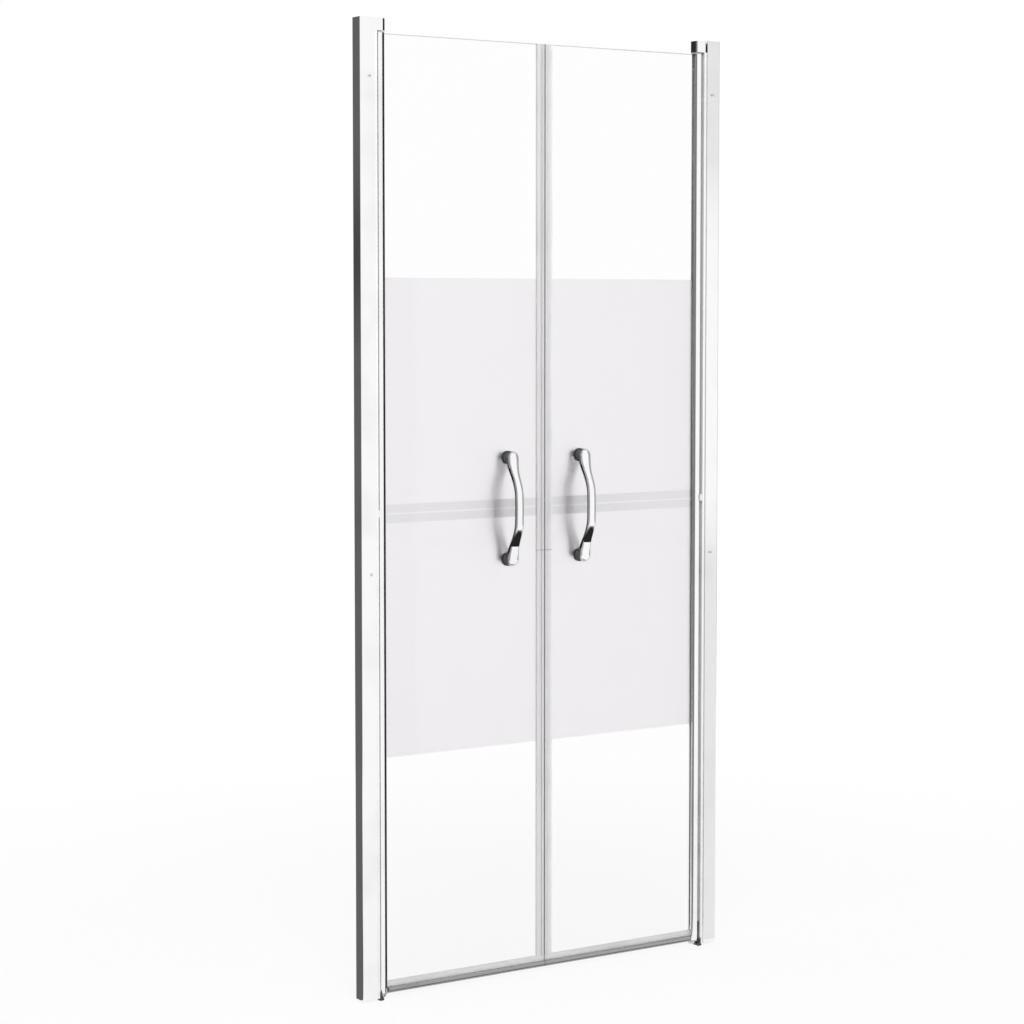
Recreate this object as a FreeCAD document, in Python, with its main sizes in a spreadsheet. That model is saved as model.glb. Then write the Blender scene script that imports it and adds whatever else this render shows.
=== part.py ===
import FreeCAD, Part
import Sketcher
import math
import os
import re

# A double-leaf pivot shower door for a niche, in millimetres.
# +Z is up, the front of the door faces -Y, and the origin is on the floor at the middle of the doorway.
# Both sides of the door use the same pieces. Each piece is drawn with X as the distance from the wall
# face towards the middle of the doorway, or from its own axis, and is then placed on its side.

SIZES = (
    # Doorway
    ("overall_width", 860, "wall face to wall face"),
    ("overall_height", 1900, "floor to the top of the wall profiles"),
    ("ground_gap", 4, "floor to the lower end of the profiles"),
    # Clearances
    ("slide_clearance", 0.3, "between pieces that slide together or only lie side by side"),
    ("running_clearance", 0.05, "radial, a pin turning in a bush"),
    ("seat_clearance", 0.02, "radial, a pin or screw fixed in its hole"),
    ("slip_clearance", 0.1, "between a seal and the glass or the groove that holds it"),
    ("cut_overrun", 5, "how far a cut runs past the material"),
    # Wall profile
    ("wall_profile_width", 32, "from the wall to the open edge"),
    ("frame_depth", 30, "front to back"),
    ("frame_wall", 1.5, "thickness of the extrusion"),
    ("frame_corner", 2, "radius of the two outer corners"),
    # Adjusting profile and clamp screws
    ("adjust_start", 10, "from the wall to the hidden edges of the flanges"),
    ("adjust_reach", 38.7, "from the wall to the lips beside the leaf"),
    ("adjust_wall", 1.6, "thickness of the extrusion"),
    ("channel_depth", 1.6, "from the lips back to the web between them"),
    ("clamp_distance", 19, "from the wall to the clamp screws"),
    ("clamp_top", 111, "from the upper end of the wall profile to the first clamp screw"),
    ("clamp_pitch", 953, "between the two clamp screws"),
    ("clamp_shank_radius", 2, "screw shank"),
    ("clamp_length", 9, "screw shank under the head"),
    ("clamp_head_radius", 3.6, "screw head"),
    ("clamp_head_height", 1.8, "screw head"),
    ("clamp_head_edge", 0.9, "bevel of the screw head"),
    ("clamp_recess_width", 1.1, "one arm of the cross recess"),
    ("clamp_recess_length", 4.2, "the cross recess, end to end"),
    ("clamp_recess_depth", 1.1, "the cross recess"),
    # Top cap and pivot pins
    ("cap_height", 24, "top cap over the leaf"),
    ("cap_start", 34, "from the wall to the visible part of the cap"),
    ("cap_depth", 22.5, "front to back"),
    ("cap_corner", 5, "radius of the two corners over the leaf"),
    ("cap_edge", 1, "bevel of the upper rim"),
    ("spigot_start", 20, "from the wall to the spigot of the cap"),
    ("spigot_drop", 24, "spigot inside the adjusting profile"),
    ("spigot_rise", 14, "spigot above the adjusting profile"),
    ("pin_radius", 4, "pivot pins"),
    ("pin_chamfer", 0.8, "at the ends of the pivot pins"),
    ("pin_hold", 20, "length of the top pin inside the cap"),
    ("pin_engagement", 27, "length of a pin inside its bush"),
    # Bottom bearing and foot
    ("arm_thickness", 5, "bottom bearing under the leaf"),
    ("arm_radius", 8, "round end of the bottom bearing"),
    ("leg_height", 46, "upright leg of the bottom bearing"),
    ("foot_depth", 31, "front to back"),
    ("foot_reach", 46, "from the wall to the nose of the foot"),
    ("foot_rise", 16.7, "height of the cheeks beside the lips"),
    # Middle bearing
    ("mid_bearing_height", 13, "along the groove"),
    ("mid_bearing_centre", 952, "above the floor"),
    ("mid_bearing_reach", 44.8, "from the wall to its free edges"),
    # Leaf: hinge profile
    ("pivot_distance", 50.5, "from the wall to the pivot axis"),
    ("hinge_depth", 20, "between the two flat faces"),
    ("hinge_back", 5.5, "from the pivot axis to the wall side end of the flat faces"),
    ("hinge_front", 8, "from the pivot axis to the face that holds the glass"),
    ("hinge_corner", 5.5, "radius of the corners beside the glass"),
    ("hinge_wall", 1.6, "thickness of the extrusion"),
    ("slot_depth", 7, "glass slot"),
    ("swing_clearance", 0.35, "around the hinge profile as it turns"),
    ("top_gap", 1, "between the cap and the leaf"),
    ("bush_flange", 2.5, "thickness of the end plates of the bushes"),
    ("bush_radius", 6, "spigot of the bushes"),
    ("bush_length", 28, "spigot of the bushes"),
    # Leaf: glass and seals
    ("glass_thickness", 5, "toughened glass"),
    ("glass_top_gap", 0.5, "glass below the upper end of the hinge profile"),
    ("gasket_thickness", 1.2, "glazing gasket"),
    ("end_gap", 0.5, "between the hinge profile and the rail or seal beside it"),
    ("meeting_gap", 0.8, "between the two leaves"),
    ("nose_length", 7, "hollow nose of the centre seal"),
    ("nose_depth", 9.2, "nose of the centre seal, front to back"),
    ("nose_corner", 2.5, "rounding of the nose"),
    ("nose_wall", 1.2, "thickness of the nose"),
    ("seal_leg", 11, "legs of the centre seal on the glass"),
    ("seal_wall", 1.3, "thickness of the legs"),
    ("seal_seam", 861, "joint between the lower and the upper centre seal"),
    # Leaf: rail and seal along the bottom
    ("rail_bottom", 8.6, "underside of the drip rail above the floor"),
    ("rail_depth", 14, "front to back, and width of the round underside"),
    ("rail_height", 13, "drip rail"),
    ("rail_corner", 2, "rounding of the upper edges"),
    ("rail_bore", 3, "radius of the hollow along the rail"),
    ("rail_groove", 3.6, "depth of the groove for the seal"),
    ("seal_base", 2.2, "seal under the edge of the glass"),
    ("seal_height", 15, "bottom seal"),
    # Handles
    ("handle_offset", 87, "from the middle of the doorway"),
    ("handle_centre", 949, "above the floor"),
    ("handle_spacing", 204, "between the posts"),
    ("handle_rise", 26.5, "middle of the grip in front of the round ends"),
    ("bow_radius", 80, "curve of the grip, along its middle"),
    ("grip_radius", 8.6, "round bar of the grip"),
    ("lobe_radius", 12.6, "round ends and posts, from where the bar tapers"),
    ("lobe_stand", 15, "centre of the round ends in front of the glass"),
    ("washer_thickness", 3, "between the post and the glass"),
    ("washer_extra", 0.5, "radius of the washer past the post"),
    ("stud_radius", 4, "stud through the glass"),
    ("stud_grip", 8, "length of the stud inside each post"),
    ("glass_hole_radius", 6, "holes in the glass for the studs"),
)

# Places worked out from the sizes
PLACES = {
    "half_width": "overall_width / 2",
    "half_frame": "frame_depth / 2",
    "profile_length": "overall_height - ground_gap",
    "adjust_top": "overall_height - cap_height",
    "half_adjust": "frame_depth / 2 - frame_wall - slide_clearance",
    "half_channel": "half_adjust - adjust_wall",
    "web_face": "adjust_reach - channel_depth",
    "web_back": "web_face - adjust_wall",
    "clamp_high": "overall_height - clamp_top",
    "clamp_low": "clamp_high - clamp_pitch",
    "leaf_face": "pivot_distance + hinge_front",
    "flat_start": "pivot_distance - hinge_back",
    "half_hinge": "hinge_depth / 2",
    "swing_radius": "sqrt(hinge_back ^ 2 + (hinge_depth / 2) ^ 2)",
    "cradle_radius": "swing_radius + swing_clearance",
    "arm_top": "ground_gap + arm_thickness",
    "leaf_bottom": "arm_top + slide_clearance",
    "hinge_bottom": "leaf_bottom + bush_flange",
    "leaf_top": "adjust_top - top_gap",
    "hinge_top": "leaf_top - bush_flange",
    "half_glass": "glass_thickness / 2",
    "half_gasket": "half_glass + gasket_thickness",
    "half_slot": "half_gasket + slip_clearance",
    "slot_floor": "leaf_face - slot_depth",
    "glass_edge": "slot_floor + gasket_thickness",
    "notch_edge": "pivot_distance + bush_radius + end_gap",
    "notch_low": "hinge_bottom + bush_length + end_gap",
    "notch_high": "hinge_top - bush_length - end_gap",
    "rail_top": "rail_bottom + rail_height",
    "groove_floor": "rail_top - rail_groove",
    "glass_bottom": "groove_floor + seal_base",
    "glass_top": "hinge_top - glass_top_gap",
    "meeting_face": "half_width - meeting_gap / 2",
    "seal_pocket": "meeting_face - nose_length",
    "glass_end": "seal_pocket - slip_clearance",
    "half_pocket": "half_glass + slip_clearance",
    "half_seal": "half_pocket + seal_wall",
    "seal_tip": "seal_pocket - seal_leg",
    "seal_bottom": "groove_floor + seal_height + slide_clearance",
    "lower_seal_top": "seal_seam - slide_clearance / 2",
    "upper_seal_start": "seal_seam + slide_clearance / 2",
    "rail_start": "leaf_face + end_gap",
    "handle_x": "half_width - handle_offset",
    "post_high": "handle_centre + handle_spacing / 2",
    "post_low": "handle_centre - handle_spacing / 2",
    "post_face": "half_glass + washer_thickness",
    "half_span": "handle_spacing / 2",
    "lobe_out": "half_glass + lobe_stand",
    "grip_out": "lobe_out + handle_rise",
    "bow_stand": "bow_radius - handle_rise",
    "taper_length": "sqrt(half_span ^ 2 + bow_stand ^ 2 - bow_radius ^ 2)",
    "bow_angle": "atan((bow_radius * half_span - taper_length * bow_stand)"
                 " / (bow_radius * bow_stand + taper_length * half_span))",
}

SIDES = ("left", "right")
NAMES = {name for name, number, note in SIZES}

document = FreeCAD.newDocument("shower_door")
sheet = document.addObject("Spreadsheet::Sheet", "Sizes")
for row, (name, number, note) in enumerate(SIZES, start=1):
    sheet.set("A%d" % row, note)
    sheet.set("B%d" % row, str(number))
    sheet.setAlias("B%d" % row, name)
document.recompute()

SUB_PARTS = []


def bind(words):
    """An expression in the names of sizes and places, as one that reads the sheet."""
    def replace(match):
        word = match.group(0)
        if word in PLACES:
            return "(" + bind(PLACES[word]) + ")"
        if word in NAMES:
            return "Sizes." + word
        return word
    return re.sub(r"[a-z_]+", replace, words)


def value(words):
    """The number that an expression gives."""
    result = sheet.evalExpression(bind(words))
    return float(getattr(result, "Value", result))


def place_on_side(item, side, label, distance="0", height="0"):
    """Put a piece, drawn at the wall or at its own axis, on its side of the doorway."""
    item.Label = label + "_" + side
    sign = "-" if side == "left" else ""
    if side == "right":
        item.Placement.Rotation = FreeCAD.Rotation(FreeCAD.Vector(0, 0, 1), 180)
    item.setExpression("Placement.Base.x", bind(sign + "(half_width - (" + distance + "))"))
    item.setExpression("Placement.Base.z", bind(height))
    SUB_PARTS.append(item)


def new_body(name):
    body = document.addObject("PartDesign::Body", name)
    body.AllowCompound = True
    return body


def new_sketch(body, plane, offset):
    """An empty sketch on one of the body's origin planes, moved along the plane's normal."""
    sketch = body.newObject("Sketcher::SketchObject", body.Name + "_sketch")
    support = [item for item in body.Origin.OriginFeatures if item.Role == plane][0]
    sketch.AttachmentSupport = [(support, "")]
    sketch.MapMode = "FlatFace"
    sketch.setExpression("AttachmentOffset.Base.z", bind(offset))
    return sketch


def fix_point(sketch, geometry, point, place):
    """Tie one point of a sketch to its place, given as two expressions."""
    for kind, words in zip(("DistanceX", "DistanceY"), place):
        index = sketch.addConstraint(Sketcher.Constraint(kind, -1, 1, geometry, point, value(words)))
        sketch.setExpression("Constraints[%d]" % index, bind(words))


def add_loop(sketch, corners, arcs=()):
    """A closed outline. arcs gives, for an edge by number, its radius and its centre."""
    arcs = dict(arcs)
    numbers = [FreeCAD.Vector(value(across), value(along), 0) for across, along in corners]
    ends = []
    for index, start in enumerate(numbers):
        finish = numbers[(index + 1) % len(numbers)]
        if index not in arcs:
            edge = sketch.addGeometry(Part.LineSegment(start, finish), False)
            ends.append((edge, 1, 2))
            continue
        radius, across, along = arcs[index]
        centre = FreeCAD.Vector(value(across), value(along), 0)
        first = math.atan2(start.y - centre.y, start.x - centre.x)
        last = math.atan2(finish.y - centre.y, finish.x - centre.x)
        turn = (last - first) % (2 * math.pi)
        circle = Part.Circle(centre, FreeCAD.Vector(0, 0, 1), value(radius))
        if turn < math.pi:
            edge = sketch.addGeometry(Part.ArcOfCircle(circle, first, first + turn), False)
            ends.append((edge, 1, 2))
        else:
            edge = sketch.addGeometry(Part.ArcOfCircle(circle, last, last - turn + 2 * math.pi), False)
            ends.append((edge, 2, 1))
        limit = sketch.addConstraint(Sketcher.Constraint("Radius", edge, value(radius)))
        sketch.setExpression("Constraints[%d]" % limit, bind(radius))
    for index, (edge, start, finish) in enumerate(ends):
        following = ends[(index + 1) % len(ends)]
        sketch.addConstraint(Sketcher.Constraint("Coincident", edge, finish, following[0], following[1]))
        fix_point(sketch, edge, start, corners[index])


def add_rectangle(sketch, low, high, near, far):
    add_loop(sketch, ((low, near), (high, near), (high, far), (low, far)))


def add_circle(sketch, across, along, radius):
    centre = FreeCAD.Vector(value(across), value(along), 0)
    circle = sketch.addGeometry(Part.Circle(centre, FreeCAD.Vector(0, 0, 1), value(radius)), False)
    fix_point(sketch, circle, 3, (across, along))
    limit = sketch.addConstraint(Sketcher.Constraint("Radius", circle, value(radius)))
    sketch.setExpression("Constraints[%d]" % limit, bind(radius))


def add_pad(body, sketch, length, both_ways=False):
    pad = body.newObject("PartDesign::Pad", body.Name + "_pad")
    pad.Profile = sketch
    pad.Midplane = both_ways
    pad.setExpression("Length", bind(length))
    return pad


def add_pocket(body, sketch, length, along_normal=False):
    """A cut against the sketch's normal, or along it. It has to take material away."""
    document.recompute()
    before = body.Shape.Volume
    pocket = body.newObject("PartDesign::Pocket", body.Name + "_pocket")
    pocket.Profile = sketch
    pocket.Reversed = along_normal
    pocket.setExpression("Length", bind(length))
    document.recompute()
    if body.Shape.Volume >= before:
        raise RuntimeError(body.Name + ": a cut takes nothing away")
    return pocket


def edges_at(body, height):
    """The edges of a body that lie level at one height."""
    wanted = value(height)
    found = []
    for number, edge in enumerate(body.Shape.Edges, start=1):
        box = edge.BoundBox
        if abs(box.ZMin - wanted) < 1e-6 and abs(box.ZMax - wanted) < 1e-6:
            found.append("Edge%d" % number)
    return found


def drill_front(body, side, height_words, radius):
    """Holes through the front flange for the clamp screws."""
    sketch = new_sketch(body, "XZ_Plane", "0")
    for height in height_words:
        add_circle(sketch, "clamp_distance", height, radius)
    add_pocket(body, sketch, "half_frame + cut_overrun", along_normal=(side == "left"))


def make_wall_profile(side):
    """U-shaped extrusion against the wall."""
    body = new_body("wall_profile_" + side)
    section = new_sketch(body, "XY_Plane", "ground_gap")
    inner = "half_frame - frame_wall"
    add_loop(section, (
        ("0", "-(half_frame - frame_corner)"),
        ("frame_corner", "-half_frame"),
        ("wall_profile_width", "-half_frame"),
        ("wall_profile_width", "-(%s)" % inner),
        ("frame_wall", "-(%s)" % inner),
        ("frame_wall", inner),
        ("wall_profile_width", inner),
        ("wall_profile_width", "half_frame"),
        ("frame_corner", "half_frame"),
        ("0", "half_frame - frame_corner"),
    ), (
        (0, ("frame_corner", "frame_corner", "-(half_frame - frame_corner)")),
        (8, ("frame_corner", "frame_corner", "half_frame - frame_corner")),
    ))
    add_pad(body, section, "profile_length")
    drill_front(body, side, ("clamp_high", "clamp_low"), "clamp_shank_radius + slip_clearance")
    place_on_side(body, side, "wall_profile")


def make_adjusting_profile(side):
    """H-shaped extrusion that slides in the wall profile and takes up the tolerance of the niche."""
    body = new_body("adjusting_profile_" + side)
    section = new_sketch(body, "XY_Plane", "ground_gap")
    add_loop(section, (
        ("adjust_start", "-half_adjust"),
        ("adjust_reach", "-half_adjust"),
        ("adjust_reach", "-half_channel"),
        ("web_face", "-half_channel"),
        ("web_face", "half_channel"),
        ("adjust_reach", "half_channel"),
        ("adjust_reach", "half_adjust"),
        ("adjust_start", "half_adjust"),
        ("adjust_start", "half_channel"),
        ("web_back", "half_channel"),
        ("web_back", "-half_channel"),
        ("adjust_start", "-half_channel"),
    ))
    add_pad(body, section, "adjust_top - ground_gap")
    drill_front(body, side, ("clamp_high", "clamp_low"), "clamp_shank_radius + seat_clearance")
    place_on_side(body, side, "adjusting_profile")


def make_clamp_screws(side):
    """Two screws that clamp the adjusting profile in the wall profile, from the front."""
    body = new_body("clamp_screws_" + side)
    front = "half_frame" if side == "left" else "-half_frame"
    inward = side == "right"
    places = ("clamp_high", "clamp_low")
    heads = new_sketch(body, "XZ_Plane", front)
    for height in places:
        add_circle(heads, "clamp_distance", height, "clamp_head_radius")
    head = add_pad(body, heads, "clamp_head_height")
    head.Reversed = inward
    document.recompute()
    outer = value("half_frame + clamp_head_height")
    rims = [
        "Edge%d" % number for number, edge in enumerate(body.Shape.Edges, start=1)
        if abs(abs(edge.BoundBox.YMin) - outer) < 1e-6 and abs(abs(edge.BoundBox.YMax) - outer) < 1e-6
    ]
    bevel = body.newObject("PartDesign::Chamfer", body.Name + "_bevel")
    bevel.Base = (head, rims)
    bevel.setExpression("Size", bind("clamp_head_edge"))
    document.recompute()
    shanks = new_sketch(body, "XZ_Plane", front)
    for height in places:
        add_circle(shanks, "clamp_distance", height, "clamp_shank_radius")
    shank = add_pad(body, shanks, "clamp_length")
    shank.Reversed = not inward
    half_arm = "clamp_recess_width / 2"
    half_cross = "clamp_recess_length / 2"
    depth = "clamp_recess_depth + cut_overrun"
    top = "half_frame + clamp_head_height + cut_overrun"
    for across, along in ((half_cross, half_arm), (half_arm, half_cross)):
        cross = new_sketch(body, "XZ_Plane", top if side == "left" else "-(%s)" % top)
        for height in places:
            add_rectangle(cross, "clamp_distance - " + across, "clamp_distance + " + across,
                          height + " - " + along, height + " + " + along)
        add_pocket(body, cross, depth, along_normal=inward)
    place_on_side(body, side, "clamp_screws")


def make_top_cap(side):
    """Cap that closes the top, plugs into the adjusting profile and holds the top pin."""
    body = new_body("top_cap_" + side)
    plan = new_sketch(body, "XY_Plane", "adjust_top")
    half = "cap_depth / 2"
    corner_x = "leaf_face - cap_corner"
    corner_y = "cap_depth / 2 - cap_corner"
    add_loop(plan, (
        ("cap_start", "-" + half),
        (corner_x, "-" + half),
        ("leaf_face", "-(%s)" % corner_y),
        ("leaf_face", corner_y),
        (corner_x, half),
        ("cap_start", half),
    ), (
        (1, ("cap_corner", corner_x, "-(%s)" % corner_y)),
        (3, ("cap_corner", corner_x, corner_y)),
    ))
    block = add_pad(body, plan, "cap_height")
    document.recompute()
    bevel = body.newObject("PartDesign::Chamfer", body.Name + "_bevel")
    bevel.Base = (block, edges_at(body, "overall_height"))
    bevel.setExpression("Size", bind("cap_edge"))
    document.recompute()
    spigot = new_sketch(body, "XY_Plane", "adjust_top - spigot_drop")
    side_gap = "half_channel - slide_clearance"
    add_rectangle(spigot, "spigot_start", "web_back - slide_clearance", "-(%s)" % side_gap, side_gap)
    add_pad(body, spigot, "spigot_drop + spigot_rise")
    socket = new_sketch(body, "XY_Plane", "adjust_top")
    add_circle(socket, "pivot_distance", "0", "pin_radius + seat_clearance")
    add_pocket(body, socket, "pin_hold", along_normal=True)
    place_on_side(body, side, "top_cap")


def make_pin(side, label, bottom, length):
    """Turned pivot pin with chamfered ends, drawn about its own axis."""
    body = new_body(label + "_" + side)
    half = new_sketch(body, "XZ_Plane", "0")
    add_loop(half, (
        ("0", "0"),
        ("pin_radius - pin_chamfer", "0"),
        ("pin_radius", "pin_chamfer"),
        ("pin_radius", length + " - pin_chamfer"),
        ("pin_radius - pin_chamfer", length),
        ("0", length),
    ))
    turned = body.newObject("PartDesign::Revolution", body.Name + "_turned")
    turned.Profile = half
    turned.ReferenceAxis = (half, ["V_Axis"])
    place_on_side(body, side, label, "pivot_distance", bottom)


def make_bottom_bearing(side):
    """Bracket in the channel of the adjusting profile, with an arm under the leaf."""
    body = new_body("bottom_bearing_" + side)
    plan = new_sketch(body, "XY_Plane", "ground_gap")
    add_loop(plan, (
        ("web_face", "-arm_radius"),
        ("pivot_distance", "-arm_radius"),
        ("pivot_distance + arm_radius", "0"),
        ("pivot_distance", "arm_radius"),
        ("web_face", "arm_radius"),
    ), (
        (1, ("arm_radius", "pivot_distance", "0")),
        (2, ("arm_radius", "pivot_distance", "0")),
    ))
    add_pad(body, plan, "arm_thickness")
    leg = new_sketch(body, "XY_Plane", "ground_gap")
    add_rectangle(leg, "web_face", "adjust_reach", "-arm_radius", "arm_radius")
    add_pad(body, leg, "leg_height")
    hole = new_sketch(body, "XY_Plane", "arm_top")
    add_circle(hole, "pivot_distance", "0", "pin_radius + seat_clearance")
    add_pocket(body, hole, "arm_thickness + cut_overrun")
    place_on_side(body, side, "bottom_bearing")


def make_bottom_foot(side):
    """Moulded foot under the bottom bearing, with a sloping cheek on each side of the leaf."""
    body = new_body("bottom_foot_" + side)
    shape = new_sketch(body, "XZ_Plane", "0")
    cheek = "adjust_reach + slide_clearance"
    add_loop(shape, (
        ("web_face", "0"),
        ("foot_reach", "0"),
        ("foot_reach", "ground_gap"),
        (cheek, "foot_rise"),
        (cheek, "ground_gap"),
        ("web_face", "ground_gap"),
    ))
    add_pad(body, shape, "foot_depth", both_ways=True)
    room = new_sketch(body, "XY_Plane", "foot_rise + cut_overrun")
    half_room = "cradle_radius + slip_clearance"
    add_rectangle(room, "web_face - cut_overrun", "foot_reach + cut_overrun", "-(%s)" % half_room, half_room)
    add_pocket(body, room, "foot_rise + cut_overrun - ground_gap")
    place_on_side(body, side, "bottom_foot")


def make_mid_bearing(side):
    """Plastic cradle that snaps into the channel at half height and guides the round back of the leaf."""
    body = new_body("mid_bearing_" + side)
    section = new_sketch(body, "XY_Plane", "mid_bearing_centre - mid_bearing_height / 2")
    tongue = "half_channel - slide_clearance"
    shoulder = "adjust_reach + slide_clearance"
    tip = "sqrt(cradle_radius ^ 2 - (pivot_distance - mid_bearing_reach) ^ 2)"
    add_loop(section, (
        ("web_face", "-(%s)" % tongue),
        (shoulder, "-(%s)" % tongue),
        (shoulder, "-half_adjust"),
        ("mid_bearing_reach", "-half_adjust"),
        ("mid_bearing_reach", "-" + tip),
        ("mid_bearing_reach", tip),
        ("mid_bearing_reach", "half_adjust"),
        (shoulder, "half_adjust"),
        (shoulder, tongue),
        ("web_face", tongue),
    ), ((4, ("cradle_radius", "pivot_distance", "0")),))
    add_pad(body, section, "mid_bearing_height")
    place_on_side(body, side, "mid_bearing")


def add_leaf_outline(sketch, extra=()):
    """Outline of the hinge profile: round about the pivot on the wall side, flat at front and back.
    extra holds the corners of an open slot in the face beside the glass."""
    corner_x = "leaf_face - hinge_corner"
    corner_y = "half_hinge - hinge_corner"
    corners = [
        ("flat_start", "-half_hinge"),
        (corner_x, "-half_hinge"),
        ("leaf_face", "-(%s)" % corner_y),
    ]
    corners += extra
    corners += [
        ("leaf_face", corner_y),
        (corner_x, "half_hinge"),
        ("flat_start", "half_hinge"),
    ]
    last = len(corners) - 1
    add_loop(sketch, corners, (
        (1, ("hinge_corner", corner_x, "-(%s)" % corner_y)),
        (last - 2, ("hinge_corner", corner_x, corner_y)),
        (last, ("swing_radius", "pivot_distance", "0")),
    ))


def make_hinge_profile(side):
    """Hollow extrusion that carries the glass and turns on the pins."""
    body = new_body("hinge_profile_" + side)
    section = new_sketch(body, "XY_Plane", "hinge_bottom")
    add_leaf_outline(section, [
        ("leaf_face", "-half_slot"),
        ("slot_floor", "-half_slot"),
        ("slot_floor", "half_slot"),
        ("leaf_face", "half_slot"),
    ])
    chamber_radius = "(swing_radius - hinge_wall)"
    outer = "(half_hinge - hinge_wall)"
    inner = "(half_slot + hinge_wall)"
    web = "slot_floor - hinge_wall"
    front = "leaf_face - hinge_corner"
    start = "pivot_distance - sqrt(%s ^ 2 - %s ^ 2)" % (chamber_radius, outer)
    add_loop(section, (
        (start, "-" + outer),
        (front, "-" + outer),
        (front, "-" + inner),
        (web, "-" + inner),
        (web, inner),
        (front, inner),
        (front, outer),
        (start, outer),
    ), ((7, (chamber_radius, "pivot_distance", "0")),))
    add_pad(body, section, "hinge_top - hinge_bottom")
    for bottom, along_normal in (("hinge_bottom", True), ("hinge_top", False)):
        seat = new_sketch(body, "XY_Plane", bottom)
        add_circle(seat, "pivot_distance", "0", "bush_radius + seat_clearance")
        add_pocket(body, seat, "bush_length + slip_clearance", along_normal)
    place_on_side(body, side, "hinge_profile")


def make_bush(side, label, flange_bottom, spigot_bottom, bore_bottom):
    """End piece of the hinge profile: a plate of the same outline, a round spigot and the pin's bore."""
    body = new_body(label + "_" + side)
    plate = new_sketch(body, "XY_Plane", flange_bottom)
    add_leaf_outline(plate)
    add_pad(body, plate, "bush_flange")
    spigot = new_sketch(body, "XY_Plane", spigot_bottom)
    add_circle(spigot, "pivot_distance", "0", "bush_radius")
    add_pad(body, spigot, "bush_length")
    bore = new_sketch(body, "XY_Plane", bore_bottom)
    add_circle(bore, "pivot_distance", "0", "pin_radius + running_clearance")
    add_pocket(body, bore, "pin_engagement + cut_overrun", along_normal=True)
    place_on_side(body, side, label)


def make_glass(side):
    """Glass panel, notched beside the bushes, with two holes for the handles."""
    body = new_body("glass_" + side)
    panel = new_sketch(body, "XZ_Plane", "0")
    add_loop(panel, (
        ("notch_edge", "glass_bottom"),
        ("glass_end", "glass_bottom"),
        ("glass_end", "glass_top"),
        ("notch_edge", "glass_top"),
        ("notch_edge", "notch_high"),
        ("glass_edge", "notch_high"),
        ("glass_edge", "notch_low"),
        ("notch_edge", "notch_low"),
    ))
    for height in ("post_high", "post_low"):
        add_circle(panel, "handle_x", height, "glass_hole_radius")
    add_pad(body, panel, "glass_thickness", both_ways=True)
    place_on_side(body, side, "glass")


def make_glazing_gasket(side):
    """U-shaped gasket between the glass and the hinge profile."""
    body = new_body("glazing_gasket_" + side)
    section = new_sketch(body, "XY_Plane", "notch_low")
    tip = "leaf_face - slide_clearance"
    add_loop(section, (
        ("slot_floor", "-half_gasket"),
        (tip, "-half_gasket"),
        (tip, "-half_glass"),
        ("glass_edge", "-half_glass"),
        ("glass_edge", "half_glass"),
        (tip, "half_glass"),
        (tip, "half_gasket"),
        ("slot_floor", "half_gasket"),
    ))
    add_pad(body, section, "notch_high - notch_low")
    place_on_side(body, side, "glazing_gasket")


def make_centre_seal(side, label, bottom, top):
    """Clip-on seal at the free edge of the glass, with a hollow nose for the magnet strip."""
    body = new_body(label + "_" + side)
    section = new_sketch(body, "XY_Plane", bottom)
    half_nose = "nose_depth / 2"
    round_x = "meeting_face - nose_corner"
    round_y = "nose_depth / 2 - nose_corner"
    add_loop(section, (
        ("seal_tip", "-half_seal"),
        ("seal_pocket", "-half_seal"),
        ("seal_pocket", "-" + half_nose),
        (round_x, "-" + half_nose),
        ("meeting_face", "-(%s)" % round_y),
        ("meeting_face", round_y),
        (round_x, half_nose),
        ("seal_pocket", half_nose),
        ("seal_pocket", "half_seal"),
        ("seal_tip", "half_seal"),
        ("seal_tip", "half_pocket"),
        ("seal_pocket", "half_pocket"),
        ("seal_pocket", "-half_pocket"),
        ("seal_tip", "-half_pocket"),
    ), (
        (3, ("nose_corner", round_x, "-(%s)" % round_y)),
        (5, ("nose_corner", round_x, round_y)),
    ))
    inner = "(nose_depth / 2 - nose_wall)"
    add_rectangle(section, "seal_pocket + nose_wall", "meeting_face - nose_wall", "-" + inner, inner)
    add_pad(body, section, "%s - (%s)" % (top, bottom))
    place_on_side(body, side, label)


def make_magnet_strips(side):
    """Magnet bars inside the noses of the two centre seals."""
    body = new_body("magnet_strips_" + side)
    inner = "(nose_depth / 2 - nose_wall - slip_clearance)"
    for bottom, top in (("seal_bottom", "lower_seal_top"), ("upper_seal_start", "glass_top")):
        section = new_sketch(body, "XY_Plane", bottom)
        add_rectangle(section, "seal_pocket + nose_wall", "meeting_face - nose_wall - slip_clearance",
                      "-" + inner, inner)
        add_pad(body, section, "%s - (%s)" % (top, bottom))
    place_on_side(body, side, "magnet_strips")


def make_bottom_seal(side):
    """Clear seal that clips on the lower edge of the glass and sits in the rail."""
    body = new_body("bottom_seal_" + side)
    section = new_sketch(body, "YZ_Plane", "rail_start")
    tip = "groove_floor + seal_height"
    add_loop(section, (
        ("-half_seal", "groove_floor"),
        ("half_seal", "groove_floor"),
        ("half_seal", tip),
        ("half_pocket", tip),
        ("half_pocket", "glass_bottom"),
        ("-half_pocket", "glass_bottom"),
        ("-half_pocket", tip),
        ("-half_seal", tip),
    ))
    add_pad(body, section, "meeting_face - (rail_start)")
    place_on_side(body, side, "bottom_seal")


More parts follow.
